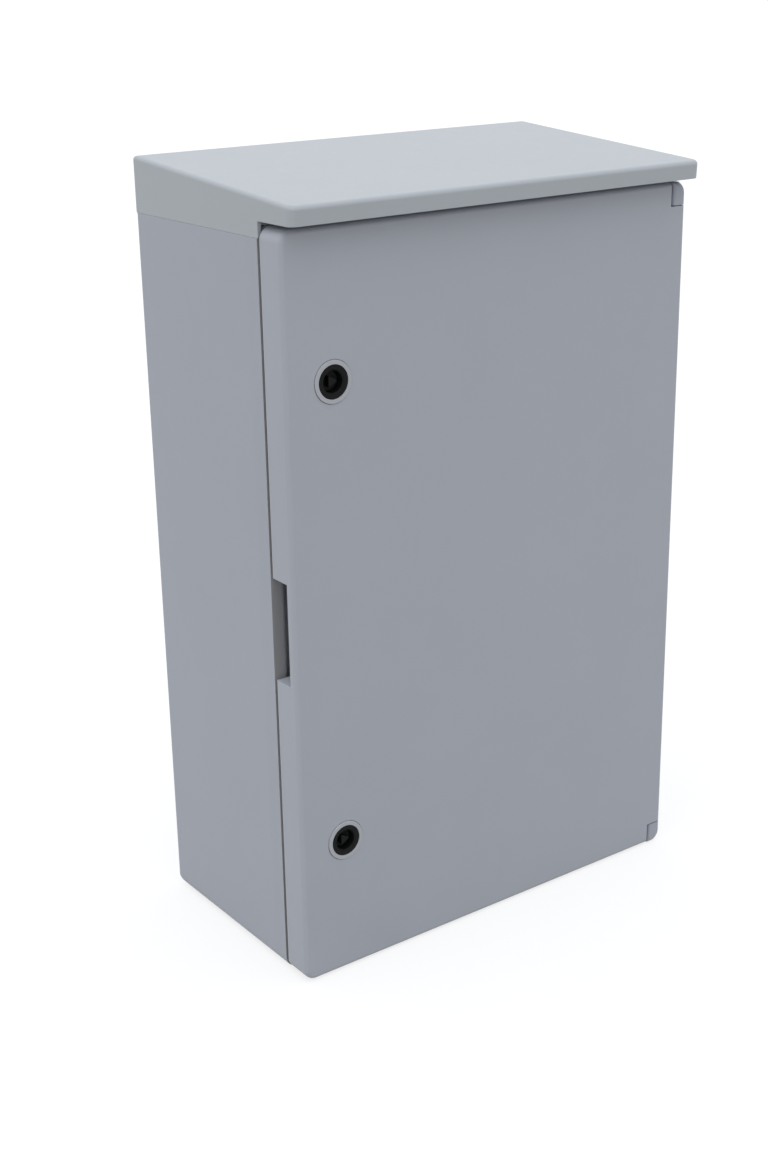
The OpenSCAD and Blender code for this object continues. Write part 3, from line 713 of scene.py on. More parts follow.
@dataclass(frozen=True)
class Screw:
    """A cross-recessed screw, as a round head and a shank.

    The head's top is the dome h(r) = height (1 - dome (r / R) ^ 4), less a cross-shaped pit
    whose walls are smooth steps of |x| and |y|.
    """

    shank_d: float
    length: float
    head_d: float
    head_h: float
    head: Head = Head.PAN
    dome: float = 0.35
    first: float = 0.04
    last: float = 0.9
    rows: int = 22
    sides: int = 56

    def head_top(self) -> np.ndarray:
        """Top of the head in its own directions, as rows out from the middle by sides."""
        reach = self.head_d / 2
        bulge = self.dome if self.head is Head.PAN else 0.0
        radius = np.concatenate([[0.0], np.linspace(self.first, self.last, self.rows) * reach])
        spokes = circle(1.0, self.sides)
        x, y = radius[:, None] * spokes[:, 0], radius[:, None] * spokes[:, 1]
        rise = self.head_h * (1 - bulge * (radius[:, None] / reach) ** 4)
        slot_w, slot_l = 0.075 * self.head_d, 0.29 * self.head_d
        pit = 0.42 * min(self.head_h, self.shank_d)
        narrow = np.minimum(np.abs(x), np.abs(y))
        wide = np.maximum(np.abs(x), np.abs(y))
        cross = step_down(narrow, slot_w, 0.25 * slot_w) * step_down(wide, slot_l, 0.35 * slot_l)
        return np.stack([x, y, rise - pit * cross], axis=-1)

    def add(self, solid_: Solid, seat: Sequence[float], axis: Axis) -> None:
        """Adds one screw to a solid.

        Args:
            solid_: the solid that takes its grids.
            seat: the middle of the head's flat side, or of its flush top if it is sunk.
            axis: the direction in which the head faces.
        """
        top = self.head_top()
        edge = self.head_top_edge(top)
        grid = np.concatenate([top, edge])
        if self.head is Head.SUNK:
            grid[..., 2] -= self.head_h
        across, up, along = directions(axis)
        x, y, z = grid[..., :1], grid[..., 1:2], grid[..., 2:]
        placed = np.asarray(seat) + x * across + y * up + z * along
        solid_.grid(placed)
        solid_.fill(placed[-1])

    def head_top_edge(self, top: np.ndarray) -> np.ndarray:
        """Rows from the head's top round its edge, under it, and down the shank."""
        reach, shank = self.head_d / 2, self.shank_d / 2
        rim = float(top[-1, 0, 2])
        if self.head is Head.PAN:
            profile = [(0.975 * reach, 0.82 * rim), (reach, 0.6 * rim), (reach, 0.12 * rim),
                       (0.97 * reach, 0.0), (shank, 0.0)]
        else:
            profile = [(0.98 * reach, rim), (reach, 0.97 * rim), (shank, rim - (reach - shank))]
        tail = self.length - (self.head_h if self.head is Head.SUNK else 0.0)
        profile += [(shank, -tail + 0.4), (shank - 0.4, -tail)]
        sides = np.array(profile)
        spokes = circle(1.0, self.sides)
        flat = sides[:, None, :1] * spokes[None]
        rise = np.broadcast_to(sides[:, None, 1:], (*flat.shape[:2], 1))
        return np.concatenate([flat, rise], axis=-1)


def step_down(value: np.ndarray, edge: float, width: float) -> np.ndarray:
    """1 below edge - width, 0 above edge + width, and 3t^2 - 2t^3 between them."""
    t = np.clip((edge + width - value) / (2 * width), 0, 1)
    return t * t * (3 - 2 * t)


@dataclass
class Screws:
    """The cabinet's four sets of screws."""

    finishes: Finishes
    hood: Screw = Screw(5.0, 14.5, 10.0, 3.0)
    plate: Screw = Screw(6.0, 10.5, 12.0, 3.5)
    gland: Screw = Screw(4.0, 6.0, 8.0, 2.4)
    keeper: Screw = Screw(4.0, 9.5, 8.0, 2.0, Head.SUNK)
    keeper_spread: float = 16.0

    def build(self) -> None:
        """Makes the sets of screws."""
        self.spread("hood_screw_set", "hood_screws", self.hood, Axis.DOWN)
        self.spread("plate_screw_set", "mounting_plate_screws", self.plate, Axis.FRONT)
        self.spread("gland_screw_set", "gland_plate_screws", self.gland, Axis.UP, columns=3)
        self.keeper_set()

    def spread(self, name: str, node: str, screw: Screw, axis: Axis, columns: int = 2) -> None:
        """Makes one set, in even rows from corner to corner of its CAD node's box.

        Args:
            name: the piece's name.
            node: the CAD node that it stands for.
            screw: the screw.
            axis: the direction in which the heads face.
            columns: the number of screws in x, where the other direction has two.
        """
        site, reach, made = Site.of(node), screw.head_d / 2, Solid()
        places = []
        for k, facing in enumerate(axis.value):
            if facing:
                outer = site.low[k] if facing < 0 else site.high[k]
                places.append([outer - facing * screw.head_h])
            else:
                count = 2 if k else columns
                places.append(np.linspace(site.low[k] + reach, site.high[k] - reach, count))
        for seat in product(*places):
            screw.add(made, seat, axis)
        made.piece(name, Body.CABINET, Slot.ZINC_SCREW, self.finishes, node)

    def keeper_set(self) -> None:
        """Countersunk screws that hold both keepers."""
        made = Solid()
        x = Site.of("keeper_screws").middle[0]
        for keeper in (Site.of("upper_keeper"), Site.of("lower_keeper")):
            for side in (-1, 1):
                place = (x, keeper.high[1], keeper.middle[2] + side * self.keeper_spread)
                self.keeper.add(made, place, Axis.BACK)
        made.piece("keeper_screw_set", Body.CABINET, Slot.ZINC_SCREW, self.finishes,
                   "keeper_screws")


# ---------- Locks ----------


@dataclass
class Lock:
    """A quarter-turn lock: a black insert with a triangular key pin in a pale ring."""

    level: str
    body: Body
    finishes: Finishes
    ring_d: float = 33.0
    ring_rise: float = 0.8
    ring_back: float = 1.2
    face_d: float = 26.0
    face_y: float = -0.6
    floor_y: float = 0.5
    barrel_d: float = 22.0
    barrel_y: float = 24.0
    thread_pitch: float = 1.5
    thread_depth: float = 0.55
    well_d: float = 17.0
    well_y: float = 8.0
    key_side: float = 9.6
    key_y: float = 2.0
    disc_d: float = 16.4
    disc_t: float = 1.5
    shaft_d: float = 12.0
    square: float = 8.0
    seat_y: float = 2.0
    boss_y: float = 6.0
    nut_af: float = 27.0
    nut_t: float = 6.0
    cam_w: float = 16.0
    cam_t: float = 3.0
    cam_reach: float = 33.0
    cam_tail: float = 9.0
    crank: float = 14.0
    cam_screw: Screw = Screw(6.0, 9.5, 13.0, 4.0)

    def __post_init__(self) -> None:
        """Finds the lock's axis, and the cam's two depths, in the frame."""
        ring, cam = Site.of(f"{self.level}_lock_bezel"), Site.of(f"{self.level}_lock_cam")
        self.x, self.z = float(ring.middle[0]), float(ring.middle[2])
        self.axis_point = (self.x, 0.0, self.z)
        self.cam_y, self.tip_y = float(cam.low[1]), float(cam.high[1]) - self.cam_t

    def build(self) -> None:
        """Makes the lock's seven pieces."""
        self.ring()
        self.insert()
        self.gasket()
        self.nut()
        self.core()
        self.cam()
        self.screw()

    def section(self, corners: Sequence[tuple[float, float]],
                radii: Sequence[float] | float) -> np.ndarray:
        """Turns a closed section of (radius, depth) corners about the lock's axis."""
        return turned(rounded(corners, radii, 4), self.axis_point, Axis.BACK, 96)

    def keep(self, made: Solid, name: str, slot: Slot, node: str, body: Body = Body.DOOR,
             finish: Slot | None = None) -> None:
        """Makes one of the lock's pieces.

        Args:
            made: its mesh.
            name: its name, without the lock's level.
            slot: its material slot.
            node: the CAD node that it stands for, without the lock's level.
            body: the body that it moves with.
            finish: the slot whose finish it wears, where that isn't its own.
        """
        made.piece(f"{self.level}_{name}", body, slot, self.finishes, f"{self.level}_{node}",
                   finish=finish)

    def ring(self) -> None:
        """Pale ring with a round outer shoulder, seated in the door's face."""
        outer, inner = self.ring_d / 2, self.face_d / 2 + 0.15
        bore = self.barrel_d / 2 + 0.25
        corners = [(bore, self.ring_back), (outer, self.ring_back), (outer, -self.ring_rise),
                   (inner, -self.ring_rise), (inner, self.floor_y), (bore, self.floor_y)]
        made = Solid().grid(self.section(corners, [0.1, 0.15, 0.55, 0.2, 0.1, 0.1]), loop_rows=True)
        self.keep(made, "lock_ring", Slot.BEZEL, "lock_bezel")

    def insert(self) -> None:
        """Black insert: a face with a stepped well, and a barrel threaded behind the door."""
        face, well, barrel = self.face_d / 2, self.well_d / 2, self.barrel_d / 2
        bore = self.shaft_d / 2 + 0.05
        top, deep, floor, end = self.face_y, self.well_y, self.floor_y, self.barrel_y
        corners = [(bore, deep), (well, deep), (well, top + 1.2), (well + 0.9, top + 0.35),
                   (well + 1.1, top), (face, top), (face, floor), (barrel, floor),
                   (barrel, end), (bore, end)]
        radii = [0.1, 0.3, 0.3, 0.3, 0.15, 0.4, 0.1, 0.1, 0.5, 0.2]
        made = Solid().grid(self.section(corners, radii), loop_rows=True)
        made.grid(self.thread(barrel))
        self.keep(made, "lock_insert", Slot.LOCK, "lock_housing")

    def thread(self, barrel: float) -> np.ndarray:
        """Thread: r = R - depth |2 frac(y / pitch + a / turn) - 1|, faded at both ends."""
        start, end = self.boss_y + self.nut_t - 1.0, self.barrel_y - 0.6
        y = np.linspace(start, end, int((end - start) / self.thread_pitch * 8))[:, None]
        angle = np.linspace(0, 2 * math.pi, 72, endpoint=False)
        wave = np.abs(2 * np.mod(y / self.thread_pitch + angle / (2 * math.pi), 1.0) - 1)
        fade = np.clip(np.minimum(y - start, end - y), 0, 1)
        return self.about(barrel + 0.02 - self.thread_depth * wave * fade, angle, y)

    def about(self, radius: np.ndarray, angle: np.ndarray, y: np.ndarray) -> np.ndarray:
        """Grid about the lock's axis, from radii by row and angle, and each row's depth."""
        x, z = self.x + radius * np.cos(angle), self.z + radius * np.sin(angle)
        return np.stack([x, np.broadcast_to(y, x.shape), z], axis=-1)

    def gasket(self) -> None:
        """Flat gasket between the ring and the door's counterbore."""
        inner, outer = self.barrel_d / 2 + 0.5, self.ring_d / 2 - 0.5
        y0, y1 = self.ring_back, self.seat_y
        corners = [(inner, y0), (inner, y1), (outer, y1), (outer, y0)]
        made = Solid().grid(self.section(corners, 0.2), loop_rows=True)
        self.keep(made, "lock_gasket", Slot.SEAL, "lock_seal")

    def nut(self) -> None:
        """Hexagon nut with chamfered corners.

        Its radius is the flat's half width over cos(a - nearest flat), cut by a cone at both ends.
        """
        angle = np.linspace(0, 2 * math.pi, 120, endpoint=False)
        flat = self.nut_af / 2
        hexagon = flat / np.cos(np.mod(angle + math.pi / 6, math.pi / 3) - math.pi / 6)
        near = np.array([0.0, 0.0, 0.35, 0.8, 1.4])
        y = np.concatenate([near, self.nut_t - near[::-1]])
        cone = flat - 0.4 + 1.7 * np.minimum(y, self.nut_t - y)
        radius = np.minimum(hexagon[None, :], cone[:, None])
        bore = self.barrel_d / 2 + 0.02
        radius[0], radius[-1] = bore, bore
        made = Solid().grid(self.about(radius, angle, (self.boss_y + y)[:, None]), loop_rows=True)
        self.keep(made, "nut", Slot.ZINC_SHEET, "lock_nut", finish=Slot.ZINC_SCREW)

    def prism(self, made: Solid, outline: np.ndarray, rows: Sequence[tuple[float, float]]) -> None:
        """Adds a prism: the outline scaled about the axis by each row's share, at its depth."""
        middle = np.array([self.x, self.z])
        rings = np.stack([at_depth(middle + share * (outline - middle), y) for share, y in rows])
        made.capped(rings)

    def core(self) -> None:
        """Triangular key pin on a dished disc, with its shaft and square end."""
        reach = self.key_side / math.sqrt(3)
        turns = np.radians([0, 120, 240])
        x, z = self.x + reach * np.cos(turns), self.z + reach * np.sin(turns)
        made = Solid()
        tip, well = self.key_y, self.well_y
        rows = [(0.86, tip), (0.95, tip + 0.12), (1.0, tip + 0.5), (1.0, well)]
        self.prism(made, rounded(np.stack([x, z], axis=-1), 0.7, 6), rows)
        disc, shaft, disc_y = self.disc_d / 2, self.shaft_d / 2, well - self.disc_t
        profile = [(0.0, disc_y + 0.25), (0.72 * disc, disc_y + 0.25), (0.86 * disc, disc_y),
                   (disc, disc_y), (disc, well), (shaft, well), (shaft, self.cam_y),
                   (0.0, self.cam_y)]
        rows_ = rounded(profile, [0.01, 0.5, 0.3, 0.2, 0.1, 0.1, 0.3, 0.01], 3)
        rows_[:, 0] = np.maximum(rows_[:, 0], 0.0)
        made.grid(turned(rows_, self.axis_point, Axis.BACK, 72), loop_rows=True)
        half, end = self.square / 2, self.cam_y + self.cam_t - 0.1
        square = rectangle(self.x - half, self.x + half, self.z - half, self.z + half, 0.4, 3)
        self.prism(made, square, [(1.0, self.cam_y - 1.0), (1.0, end - 0.3), (0.95, end)])
        self.keep(made, "key_pin", Slot.LOCK, "lock_core", self.body)

    def cam(self) -> None:
        """Cranked steel strip, its side view carried across its width with broken edges."""
        y0, y1, t, r = self.cam_y, self.tip_y, self.cam_t, 1.2
        knee = self.z - self.crank
        tail, tip = self.z + self.cam_tail, self.z - self.cam_reach
        corners = [(y0, tail), (y0 + t, tail), (y0 + t, knee), (y1 + t, knee),
                   (y1 + t, tip), (y1, tip), (y1, knee - t), (y0, knee - t)]
        side = rounded(corners, 2 * [0.6, 0.6, 0.3 + r, r + 1.5], 5)
        inner = inset(side, 0.35)
        half = self.cam_w / 2
        rows = [(inner, self.x - half), (side, self.x - half + 0.35), (side, self.x + half - 0.35),
                (inner, self.x + half)]
        rings = np.stack([np.concatenate([np.full((len(o), 1), x), o], axis=1) for o, x in rows])
        made = Solid().capped(rings)
        self.keep(made, "cam", Slot.ZINC_SHEET, "lock_cam", self.body, Slot.ZINC_SCREW)

    def screw(self) -> None:
        """Screw that holds the cam on the core's square end."""
        made = Solid()
        self.cam_screw.add(made, (self.x, self.cam_y + self.cam_t, self.z), Axis.BACK)
        self.keep(made, "cam_fixing", Slot.ZINC_SCREW, "cam_screw", self.body)


def inset(outline: np.ndarray, distance: float) -> np.ndarray:
    """A closed outline moved inward along its own normals, which holds for small distances."""
    along = np.roll(outline, -1, axis=0) - np.roll(outline, 1, axis=0)
    normal = np.stack([along[:, 1], -along[:, 0]], axis=-1)
    normal /= np.linalg.norm(normal, axis=1, keepdims=True)
    x, z = outline[:, 0], outline[:, 1]
    area = (x * np.roll(z, -1) - np.roll(x, -1) * z).sum()
    return outline - math.copysign(distance, area) * normal


# ---------- Plates, pins and the door's seal ----------


@dataclass
class Inside:
    """Mounting plate, keepers, gland plate with its gasket, and hinge pins."""

    finishes: Finishes
    plate_corner: float = 6.0
    plate_hole_d: float = 6.5
    plate_screw_in: float = 14.0
    keeper_corner: float = 2.0
    edge: float = 0.3
    gland_corner: float = 6.0
    gland_lap: float = 12.0
    groove_w: float = 2.2
    groove_y: float = -0.9
    inner_share: float = 0.62
    knockouts: tuple[tuple[float, float], ...] = (
        (-84.0, 14.0), (-42.0, 18.0), (0.0, 22.0), (42.0, 18.0), (84.0, 14.0))
    pin_d: float = 6.0
    pin_head_d: float = 9.0
    pin_head_h: float = 2.0

    def build(self) -> None:
        """Makes the pieces inside the cabinet."""
        self.mounting_plate()
        for level in ("upper", "lower"):
            self.keeper(level)
            self.hinge_pin(level)
        self.gland_plate()
        self.gland_gasket()

    def mounting_plate(self) -> None:
        """Sheet-steel plate with round corners and four screw holes."""
        site, made = Site.of("mounting_plate"), Solid()
        (x0, y0, z0), (x1, y1, z1) = site.low, site.high
        rings = slab(site, self.plate_corner, self.edge, at_depth)
        far = self.plate_screw_in
        holes = [np.array([x, z]) for x in (x0 + far, x1 - far) for z in (z0 + far, z1 - far)]
        bore = circle(self.plate_hole_d / 2, 40)
        made.grid(rings)
        made.fill(rings[0], *[at_depth(bore + hole, y0) for hole in holes])
        made.fill(rings[-1], *[at_depth(bore + hole, y1) for hole in holes])
        for hole in holes:
            made.grid(np.stack([at_depth(bore + hole, y0), at_depth(bore + hole, y1)]))
        made.piece("back_plate", Body.CABINET, Slot.ZINC_SHEET, self.finishes, "mounting_plate")

    def keeper(self, level: str) -> None:
        """Steel strip that the cam closes on."""
        node = f"{level}_keeper"
        made = Solid().capped(slab(Site.of(node), self.keeper_corner, self.edge, at_depth))
        made.piece(f"{level}_strike", Body.CABINET, Slot.ZINC_SHEET, self.finishes, node)

    def hinge_pin(self, level: str) -> None:
        """Steel pin with a low head and a chamfered end."""
        site = Site.of(f"{level}_hinge_pin")
        outer, shank = self.pin_head_d / 2, self.pin_d / 2
        end = float(site.high[2] - site.low[2])
        head_h = self.pin_head_h
        profile = np.array([(0.0, 0.0), (0.8 * outer, 0.0), (outer, 0.3), (outer, head_h - 0.1),
                            (outer - 0.1, head_h), (shank, head_h), (shank, end - 0.8),
                            (shank - 0.8, end), (0.0, end)])
        top = level == "upper"
        head = (*site.middle[:2], site.high[2] if top else site.low[2])
        made = Solid().grid(turned(profile, head, Axis.DOWN if top else Axis.UP, 48))
        made.piece(f"{level}_pin", Body.CABINET, Slot.PIN, self.finishes, f"{level}_hinge_pin")

    def gland_plate(self) -> None:
        """Moulded plate with round knock-outs, each a shallow groove and a thin middle.

        A knock-out's top is a turned profile that meets the plate's flat face on its rim.
        """
        site, made = Site.of("gland_plate"), Solid()
        rings = slab(site, self.gland_corner, self.edge, at_height)
        middle, top = site.middle, site.high[2]
        rims = []
        for offset, radius in self.knockouts:
            small, deep = self.inner_share * radius, self.groove_y
            profile = np.array([(radius, 0.0), (radius - 0.5, deep), (radius - 1.7, deep),
                                (radius - self.groove_w, -0.2), (small, -0.2), (small - 0.5, deep),
                                (small - 1.5, deep), (small - 2.0, -0.3), (0.6, -0.3), (0.3, -0.7),
                                (0.0, -0.7)])
            disc = turned(profile, (middle[0] + offset, middle[1], top), Axis.UP, 72)
            made.grid(disc)
            rims.append(disc[0])
        made.grid(rings).fill(rings[0]).fill(rings[-1], *rims)
        made.piece("entry_plate", Body.CABINET, Slot.GLAND, self.finishes, "gland_plate")

    def gland_gasket(self) -> None:
        """Flat rubber frame under the gland plate."""
        site = Site.of("gland_plate_seal")
        (x0, y0, z0), (x1, y1, z1) = site.low, site.high
        r, lap = self.gland_corner, self.gland_lap
        rows = [(0.0, z0, r), (0.0, z1, r), (lap, z1, r), (lap, z0, r)]
        made = Solid().grid(outline_rings((x0, x1, y0, y1), rows, at_height), loop_rows=True)
        made.piece("entry_gasket", Body.CABINET, Slot.SEAL, self.finishes, "gland_plate_seal")


# ---------- Door ----------


@dataclass
class Door:
    """The door: a tray with notches at its hinge corners, a finger cut-out, ribs and hinge barrels.

    The tray is one grid. Each of its rows is the door's outline, drawn in by one distance on the
    outer sides and by another round the notches, at the row's depth behind the face.
    """

    finishes: Finishes
    panel: float = 3.5
    wall: float = 3.0
    depth: float = 27.0
    corner: float = 10.0
    face_edge: float = 4.0
    notch_w: float = 16.5
    crisp: float = 0.35
    cut_low: float = 261.0
    cut_high: float = 345.0
    cut_y: float = 8.0
    rib_t: float = 2.0
    rib_back: float = 13.0
    rib_clear: float = 0.3
    channel_w: float = 10.0
    inner_corner: float = 4.0
    notch_corner: float = 0.4
    hinge_in: float = 7.0
    hinge_y: float = 7.5
    pin_bore: float = 3.05
    pin_reach: float = 22.0
    barrel_r: float = 6.5
    barrel_l: float = 28.0
    bore_l: float = 23.0
    lock_seat_r: float = 16.8
    lock_seat_y: float = 2.0
    lock_bore_r: float = 11.25
    boss_r: float = 17.0
    boss_y: float = 6.0
    arc: int = 8

    def __post_init__(self) -> None:
        """Takes the door's box, the seal and the locks' places from the frame."""
        site, pin = Site.of("door_panel"), Site.of("lower_hinge_pin")
        (self.x0, _, self.z0), (self.x1, _, self.z1) = site.low, site.high
        self.notch_h = float(pin.high[2]) - self.pin_reach
        self.notch_high = float(Site.of("upper_hinge_pin").low[2]) + self.pin_reach
        self.locks = [Site.of(f"{level}_lock_bezel").middle[[0, 2]] for level in ("lower", "upper")]
        self.seal = Site.of("door_seal")

    def outline(self, outer: float, inner: float) -> np.ndarray:
        """The door's outline, drawn in by outer on its own sides and by inner round the notches.

        It has points close by each end of the finger cut-out, where the tray's back steps.
        """
        x0, x1 = self.x0 + outer, self.x1 - outer
        z0, z1 = self.z0 + outer, self.z1 - outer
        notch_x = self.x1 - self.notch_w - inner
        low, high = self.notch_h + inner, self.notch_high - inner
        corner = max(self.corner - outer, 0.6)
        corners = [(x0, z0), (notch_x, z0), (notch_x, low), (x1, low), (x1, high), (notch_x, high),
                   (notch_x, z1), (x0, z1)]
        points = rounded(corners, [corner, *6 * [self.notch_corner], corner], self.arc)
        near = np.array([-0.5, -0.2, 0.0, 0.2, 0.5])
        cuts = np.concatenate([self.cut_low + near, self.cut_high - near[::-1]])
        left = np.stack([np.full(len(cuts), x0), cuts[::-1]], axis=-1)
        return np.concatenate([points, left])

    def row(self, outer: float, inner: float, y: float | None, edge: float = 0.0) -> np.ndarray:
        """One row of the tray, at a depth, or at its back edge less a little if y is None."""
        flat = self.outline(outer, inner)
        if y is not None:
            return at_depth(flat, y)
        x, z = flat[:, 0], flat[:, 1]
        within = np.minimum(z - self.cut_low, self.cut_high - z) / 0.2
        inside = np.clip(within, 0, 1) * (x < self.x0 + 5)
        depth = self.depth + (self.cut_y - self.depth) * inside - edge
        return np.stack([x, depth, z], axis=-1)

    def tray(self, made: Solid) -> None:
        """Adds the panel and its skirt, with round edges, and the flats round the hinge bores."""
        face = [self.row(inset_, self.crisp * max(0.0, 1 - y / self.crisp), y)
                for inset_, y in quarter(self.face_edge)]
        back = [self.row(inset_, inset_, None, rise) for inset_, rise in lip(self.wall, self.crisp)]
        inside = [self.row(self.wall + inset_, self.wall + inset_, self.panel + y)
                  for inset_, y in ((0.0, 0.5), (0.15, 0.15), (0.5, 0.0))]
        grid = np.stack([*face, *back, *inside])
        span = self.arc + 1
        left_out = np.zeros(grid.shape[:2], bool)
        wall_rows = (len(face) - 1, len(face) + len(back) - 1)
        ledge_cells = list(product((3 * span - 1, 4 * span - 1), wall_rows))
        for column, row_ in ledge_cells:
            left_out[row_, column] = True
        made.grid(grid, open_cells=left_out)
        for column, row_ in ledge_cells:
            quad = grid[row_ + np.array([0, 0, 1, 1]), column + np.array([0, 1, 1, 0])]
            made.fill(quad, self.bore_rim(float(quad[0, 2])))
        for ring, radius, y in ((grid[0], self.lock_seat_r + 0.3, 0.0),
                                (grid[-1], self.boss_r, self.panel)):
            made.fill(ring, *[at_depth(circle(radius, 72) + lock, y) for lock in self.locks])

    def bore_rim(self, z: float) -> np.ndarray:
        """Rim of a hinge bore on one side of a ledge."""
        return at_height(circle(self.pin_bore, 32) + [self.x1 - self.hinge_in, self.hinge_y], z)

    def ledge_bores(self, made: Solid) -> None:
        """Adds the bores through the ledges and the barrels that carry on from them."""
        deep, tall, bore, r = self.bore_l, self.barrel_l, self.pin_bore, self.barrel_r
        start = self.wall - 0.4
        profiles = ([(bore, start), (r, start), (r, tall - 0.6), (r - 0.6, tall), (0.0, tall)],
                    [(0.0, deep), (bore, deep)],
                    [(bore, deep), (bore, start)])
        for z, axis in ((self.notch_h, Axis.UP), (self.notch_high, Axis.DOWN)):
            made.grid(np.stack([self.bore_rim(z), self.bore_rim(z + axis.value[2] * self.wall)]))
            for profile in profiles:
                centre = (self.x1 - self.hinge_in, self.hinge_y, z)
                made.grid(turned(np.array(profile), centre, axis, 40))

    def lock_seats(self, made: Solid) -> None:
        """Adds each lock's seat in the face, its bore, and the boss behind it."""
        r, bore, boss = self.lock_seat_r, self.lock_bore_r, self.boss_r
        seat, back = self.lock_seat_y, self.boss_y
        profile = np.array([(r + 0.3, 0.0), (r + 0.09, 0.09), (r, 0.3), (r, seat), (bore, seat),
                            (bore, back), (boss - 0.4, back), (boss - 0.1, back - 0.1),
                            (boss, back - 0.4), (boss, self.panel)])
        for x, z in self.locks:
            made.grid(turned(profile, (x, 0.0, z), Axis.BACK, 72))

    def rib(self, made: Solid, out: float, radius: float) -> None:
        """Adds one closed rib with a round top, whose section is carried round the seal."""
        t = self.rib_t
        (x0, _, z0), (x1, _, z1) = self.seal.low - out, self.seal.high + out
        half = [(0.0, self.panel - 1), (0.0, self.rib_back - 0.5), (0.15, self.rib_back - 0.15),
                (0.5, self.rib_back)]
        rows = [(i, y, max(radius - i, 0.5)) for i, y in half + [(t - i, y) for i, y in half[::-1]]]
        made.grid(outline_rings((x0, x1, z0, z1), rows, at_depth), loop_rows=True)

    def ledges(self, made: Solid) -> None:
        """Adds the ledges above and below the finger cut-out."""
        x0, x1 = self.x0 + self.wall / 2, float(self.seal.low[0]) - self.rib_clear
        y0, y1, e, r = self.panel - 1, self.depth, 0.3, 0.4
        rows = [(e, y0, r), (0.0, y0 + e, r), (0.0, y1 - e, r), (e, y1, r)]
        for z in (self.cut_low - self.wall, self.cut_high):
            made.capped(outline_rings((x0, x1, z, z + self.wall), rows, at_depth, 3))

    def build(self) -> None:
        """Makes the door as one piece."""
        made = Solid()
        self.tray(made)
        self.ledge_bores(made)
        self.lock_seats(made)
        self.rib(made, self.rib_clear + self.rib_t, self.corner)
        self.rib(made, self.rib_clear - self.channel_w, self.inner_corner)
        self.ledges(made)
        made.piece("door", Body.DOOR, Slot.DOOR, self.finishes, "door_panel", sharp_deg=35.0)


@dataclass
class Seal:
    """Foam seal in the channel between the door's ribs, with a domed back.

    Across its section, whose half width is 1, the dome stands at d(t) = straight + rise
    sqrt(1 - t^2) above the panel. The section is carried round as rings of one rectangle,
    whose corner radius goes evenly from the outer side's to the inner side's.
    """

    finishes: Finishes
    straight: float = 3.2
    outer_corner: float = 7.7
    inner_corner: float = 4.3
    width: float = 9.4
    spans: int = 14

    def build(self) -> None:
        """Makes the seal as one ring."""
        site = Site.of("door_seal")
        rise = float(site.high[1] - site.low[1]) - self.straight
        t = -np.cos(np.linspace(0, math.pi, self.spans + 1))
        inset_ = np.concatenate([[0.0], (1 + t) / 2 * self.width, [self.width]])
        above = np.concatenate([[0.0], self.straight + rise * np.sqrt(1 - t * t), [0.0]])
        corner = self.outer_corner + (self.inner_corner - self.outer_corner) * inset_ / self.width
        (x0, y0, z0), (x1, _, z1) = site.low, site.high
        rings = outline_rings((x0, x1, z0, z1), zip(inset_, y0 + above, corner), at_depth)
        made = Solid().grid(rings, loop_rows=True)
        made.piece("seal", Body.DOOR, Slot.SEAL, self.finishes, "door_seal")


# ---------- Hood ----------


